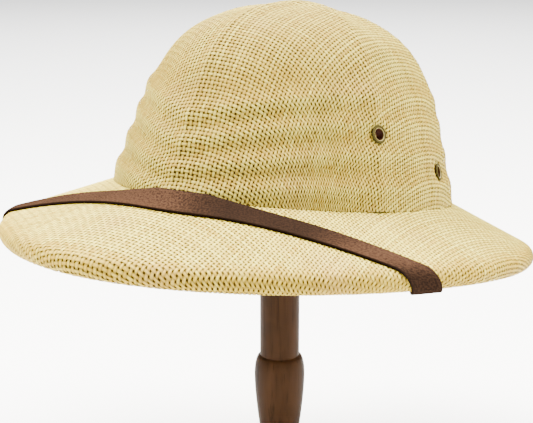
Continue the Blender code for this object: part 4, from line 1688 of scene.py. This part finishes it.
    def build(self, finish: Material) -> None:
        """Cuts the strap with rounded edges and lays it on the brim.

        Args:
            finish: The leather.
        """
        low, part = self._faces_across()
        normal = unit(np.cross(np.gradient(low, axis=0), np.gradient(low, axis=1)))
        corner = self.edge_rounding
        edge = np.zeros(len(part))
        edge[[0, -1]], edge[[1, -2]] = corner, self.edge_step * corner
        up = np.sign(normal[len(low) // 2, len(part) // 2, 2])
        top = low + up * normal * (self.thickness - edge)[None, :, None]
        under = low + up * normal * edge[None, :, None]
        loop = np.concatenate((top, under[:, ::-1]), axis=1)
        rows, around = loop.shape[:2]
        number = np.arange(rows * around).reshape(rows, around)
        after = np.roll(number, -1, axis=1)
        skin = np.stack((number[:-1], number[1:], after[1:], after[:-1]), axis=-1).reshape(-1, 4)
        columns = len(part)
        caps = []
        for cap in (number[0], number[-1]):
            back = cap[::-1]
            sides = (cap[:columns - 1], cap[1:columns], back[1:columns], back[:columns - 1])
            caps.append(np.stack(sides, axis=-1)[:, ::-1])
        faces = np.concatenate((skin, *caps))
        run = run_along(low[:, columns // 2])
        across = 0.5 + 0.5 * np.concatenate((part, part[::-1]))
        places = np.stack(np.broadcast_arrays(run[:, None], across), axis=-1).reshape(-1, 2)
        mesh = bpy.data.meshes.new("chin_strap_leather")
        mesh.from_pydata(self.seat.to_row(loop.reshape(-1, 3)).tolist(), [], faces.tolist())
        add_map(mesh, self.MAP, faces.reshape(-1), places)
        mesh.shade_smooth()
        piece = link("chin_strap_leather", mesh, finish, "chin_strap")
        deselect_all()
        piece.select_set(True)
        bpy.context.view_layer.objects.active = piece
        bpy.ops.object.mode_set(mode="EDIT")
        bpy.ops.mesh.select_all(action="SELECT")
        bpy.ops.mesh.normals_make_consistent(inside=False)
        bpy.ops.object.mode_set(mode="OBJECT")
        log.info("chin strap: %.1f mm long", run[-1] / MM)


# ---------------------------------------------------------------- stand
@dataclass
class Stand:
    """Turned wooden post on a round base."""

    base_radius: float = 76.0 * MM
    base_height: float = 16.0 * MM
    base_foot: Tuple[Pair, ...] = (  # in from the radius and up, in millimetres
        (1.2, 0.0), (0.35, 0.35), (0.0, 1.2), (0.0, 9.0), (0.4, 9.6), (1.2, 10.0))
    base_flat: Tuple[float, ...] = (20.0, 45.0)  # rings on its top, in from the radius
    base_round: float = 7.0 * MM  # of its upper edge
    base_middle: float = 4.0 * MM
    clearance: float = 0.3 * MM
    bevel: float = 0.8 * MM  # of the post's ends
    post_top: float = 11.7 * MM
    post_bulge: float = 15.05 * MM
    post_neck: float = 12.1 * MM
    post_foot: float = 17.0 * MM
    foot_height: float = 5.0 * MM
    shoulder_height: float = 106.0 * MM
    bulge_height: float = 93.7 * MM
    neck_height: float = 61.0 * MM
    swell_rings: int = 14
    shaft_rings: int = 10
    edge_rings: int = 9
    segments: int = 64

    @staticmethod
    def _swell(start: Pair, stop: Pair, steps: int,
               ease: Callable[[float], float]) -> List[Pair]:
        """Rings on the way from one to the next.

        Args:
            start: Radius and height at the start.
            stop: Radius and height at the end.
            steps: Rings to add.
            ease: How the radius follows the height.

        Returns:
            The rings, without the first.
        """
        shares = [k / steps for k in range(1, steps + 1)]
        return [(start[0] + (stop[0] - start[0]) * ease(t), start[1] + (stop[1] - start[1]) * t)
                for t in shares]

    @staticmethod
    def _rounded(share: float) -> float:
        """A quarter of a circle."""
        return 1.0 - math.sqrt(1.0 - share * share)

    def build_post(self, finish: Material) -> None:
        """Turns the post: flared foot, long taper, round shoulder and straight shaft.

        Args:
            finish: The wood.
        """
        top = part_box("stand_post")[1][2]
        foot = self.base_height + self.clearance
        plinth = (self.post_foot, foot + self.foot_height)
        neck = (self.post_neck, self.neck_height)
        bulge = (self.post_bulge, self.bulge_height)
        shoulder = (self.post_top, self.shoulder_height)
        shaft = (self.post_top, top - MM)
        rings = [(self.post_foot - self.bevel, foot), (self.post_foot, foot + self.bevel), plinth]
        for start, stop, steps, ease in (
                (plinth, neck, self.swell_rings, lambda t: t * t * (3.0 - 2.0 * t)),
                (neck, bulge, self.swell_rings, lambda t: 1.0 - (1.0 - t) ** 1.6),
                (bulge, shoulder, self.swell_rings, self._rounded),
                (shoulder, shaft, self.shaft_rings, lambda t: t)):
            rings += self._swell(start, stop, steps, ease)
        rings += [(self.post_top - self.bevel, top)]
        dress(turned("stand_post_turned", rings, self.segments), finish, "stand_post")

    def build_base(self, finish: Material) -> None:
        """Turns the base: a round plate with a softened foot and a stepped, rounded upper edge.

        Args:
            finish: The wood.
        """
        wide, high = self.base_radius, self.base_height
        rings = [(wide - inward * MM, up * MM) for inward, up in self.base_foot]
        upper_edge = (wide - self.base_round, high)
        rings += self._swell(rings[-1], upper_edge, self.edge_rings, self._rounded)
        rings += [(wide - inward * MM, high) for inward in self.base_flat]
        rings += [(self.post_foot, high), (self.base_middle, high)]
        base = turned("stand_base_turned", rings, 2 * self.segments)
        dress(base, finish, "stand_base")


# ---------------------------------------------------------------- studio
class Light(NamedTuple):
    """A soft box: where it stands in degrees and metres, its side, its watts and its colour."""

    name: str
    azimuth: float
    elevation: float
    distance: float
    size: float
    power: float
    colour: Colour = (1.0, 1.0, 1.0)


@dataclass
class Studio:
    """Pale floor, soft lights and the camera."""

    aim: Tuple[float, float, float] = (-0.0100, 0.0010, 0.1921)
    azimuth: float = 32.9  # of the camera, in degrees
    elevation: float = 14.44
    distance: float = 0.722
    lens: float = 83.2
    floor_size: float = 12.0
    floor_colour: Colour = (0.96, 0.96, 0.955)
    floor_roughness: float = 0.9
    sky: float = 0.95
    lights: Tuple[Light, ...] = (
        Light("key", -58.0, 55.0, 1.5, 0.8, 125.0, (1.0, 0.965, 0.90)),
        Light("fill", 122.0, 48.0, 1.6, 0.9, 120.0, (1.0, 0.965, 0.90)),
        Light("top", 20.0, 85.0, 1.6, 1.0, 50.0),
        Light("back", 213.0, 55.0, 3.2, 2.5, 310.0))

    def _facing(self, name: str, data: bpy.types.ID, azimuth: float, elevation: float,
                distance: float) -> Object:
        """Stands a camera or light around the object and turns it to the aim.

        Args:
            name: Its name.
            data: Its data.
            azimuth: Angle from the hat's front towards its left side, in degrees.
            elevation: Angle above level, in degrees.
            distance: Distance from the aim.

        Returns:
            The camera or light.
        """
        turn, rise = math.radians(azimuth), math.radians(elevation)
        level = distance * math.cos(rise)
        away = (level * math.sin(turn), -level * math.cos(turn), distance * math.sin(rise))
        made = bpy.data.objects.new(name, data)
        made.location = spot = Vector(self.aim) + Vector(away)
        made.rotation_euler = (Vector(self.aim) - spot).to_track_quat("-Z", "Y").to_euler()
        bpy.context.scene.collection.objects.link(made)
        return made

    def build(self) -> None:
        """Sets up floor, world, lights and camera."""
        bpy.ops.mesh.primitive_plane_add(size=self.floor_size)
        floor = bpy.context.active_object
        floor.name = "floor"
        sockets = {"Base Color": self.floor_colour, "Roughness": self.floor_roughness}
        floor.data.materials.append(Shader("pale_floor").finish(sockets))
        world = bpy.data.worlds.new("studio")
        world.use_nodes = True
        ground = world.node_tree.nodes["Background"]
        ground.inputs["Color"].default_value = (1.0, 1.0, 1.0, 1.0)
        ground.inputs["Strength"].default_value = self.sky
        bpy.context.scene.world = world
        for light in self.lights:
            data = bpy.data.lights.new(light.name, "AREA")
            data.size, data.energy, data.color = light.size, light.power, light.colour
            self._facing(light.name, data, light.azimuth, light.elevation, light.distance)
        data = bpy.data.cameras.new("camera")
        data.lens = self.lens
        bpy.context.scene.camera = self._facing(
            "camera", data, self.azimuth, self.elevation, self.distance)


# ---------------------------------------------------------------- the whole
def main() -> None:
    """Builds the object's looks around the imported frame."""
    logging.basicConfig(level=logging.INFO, format="%(message)s")
    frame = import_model()
    deselect_all()
    nodes = frame["nodes"]
    stiffening = StiffeningFinish().material()
    for name in ("crown", "brim"):
        redress(nodes[name], stiffening)
    wood = WoodFinish().material()
    redress(nodes["stand_head"], wood)
    stand = Stand()
    stand.build_post(wood)
    stand.build_base(wood)
    straw = StrawFinish("straw_strands").material()
    inner = StrawFinish(
        "straw_strands_inside", pale=(0.47, 0.36, 0.12), warm=(0.36, 0.24, 0.065),
        shaded=(0.09, 0.055, 0.014)).material()
    CrownCloth().build(straw, inner)
    BrimCloth().build(straw, inner)
    ChinStrap().build(LeatherFinish().material())
    Eyelets().build(BrassFinish().material())
    Studio().build()


if __name__ == "__main__":
    main()
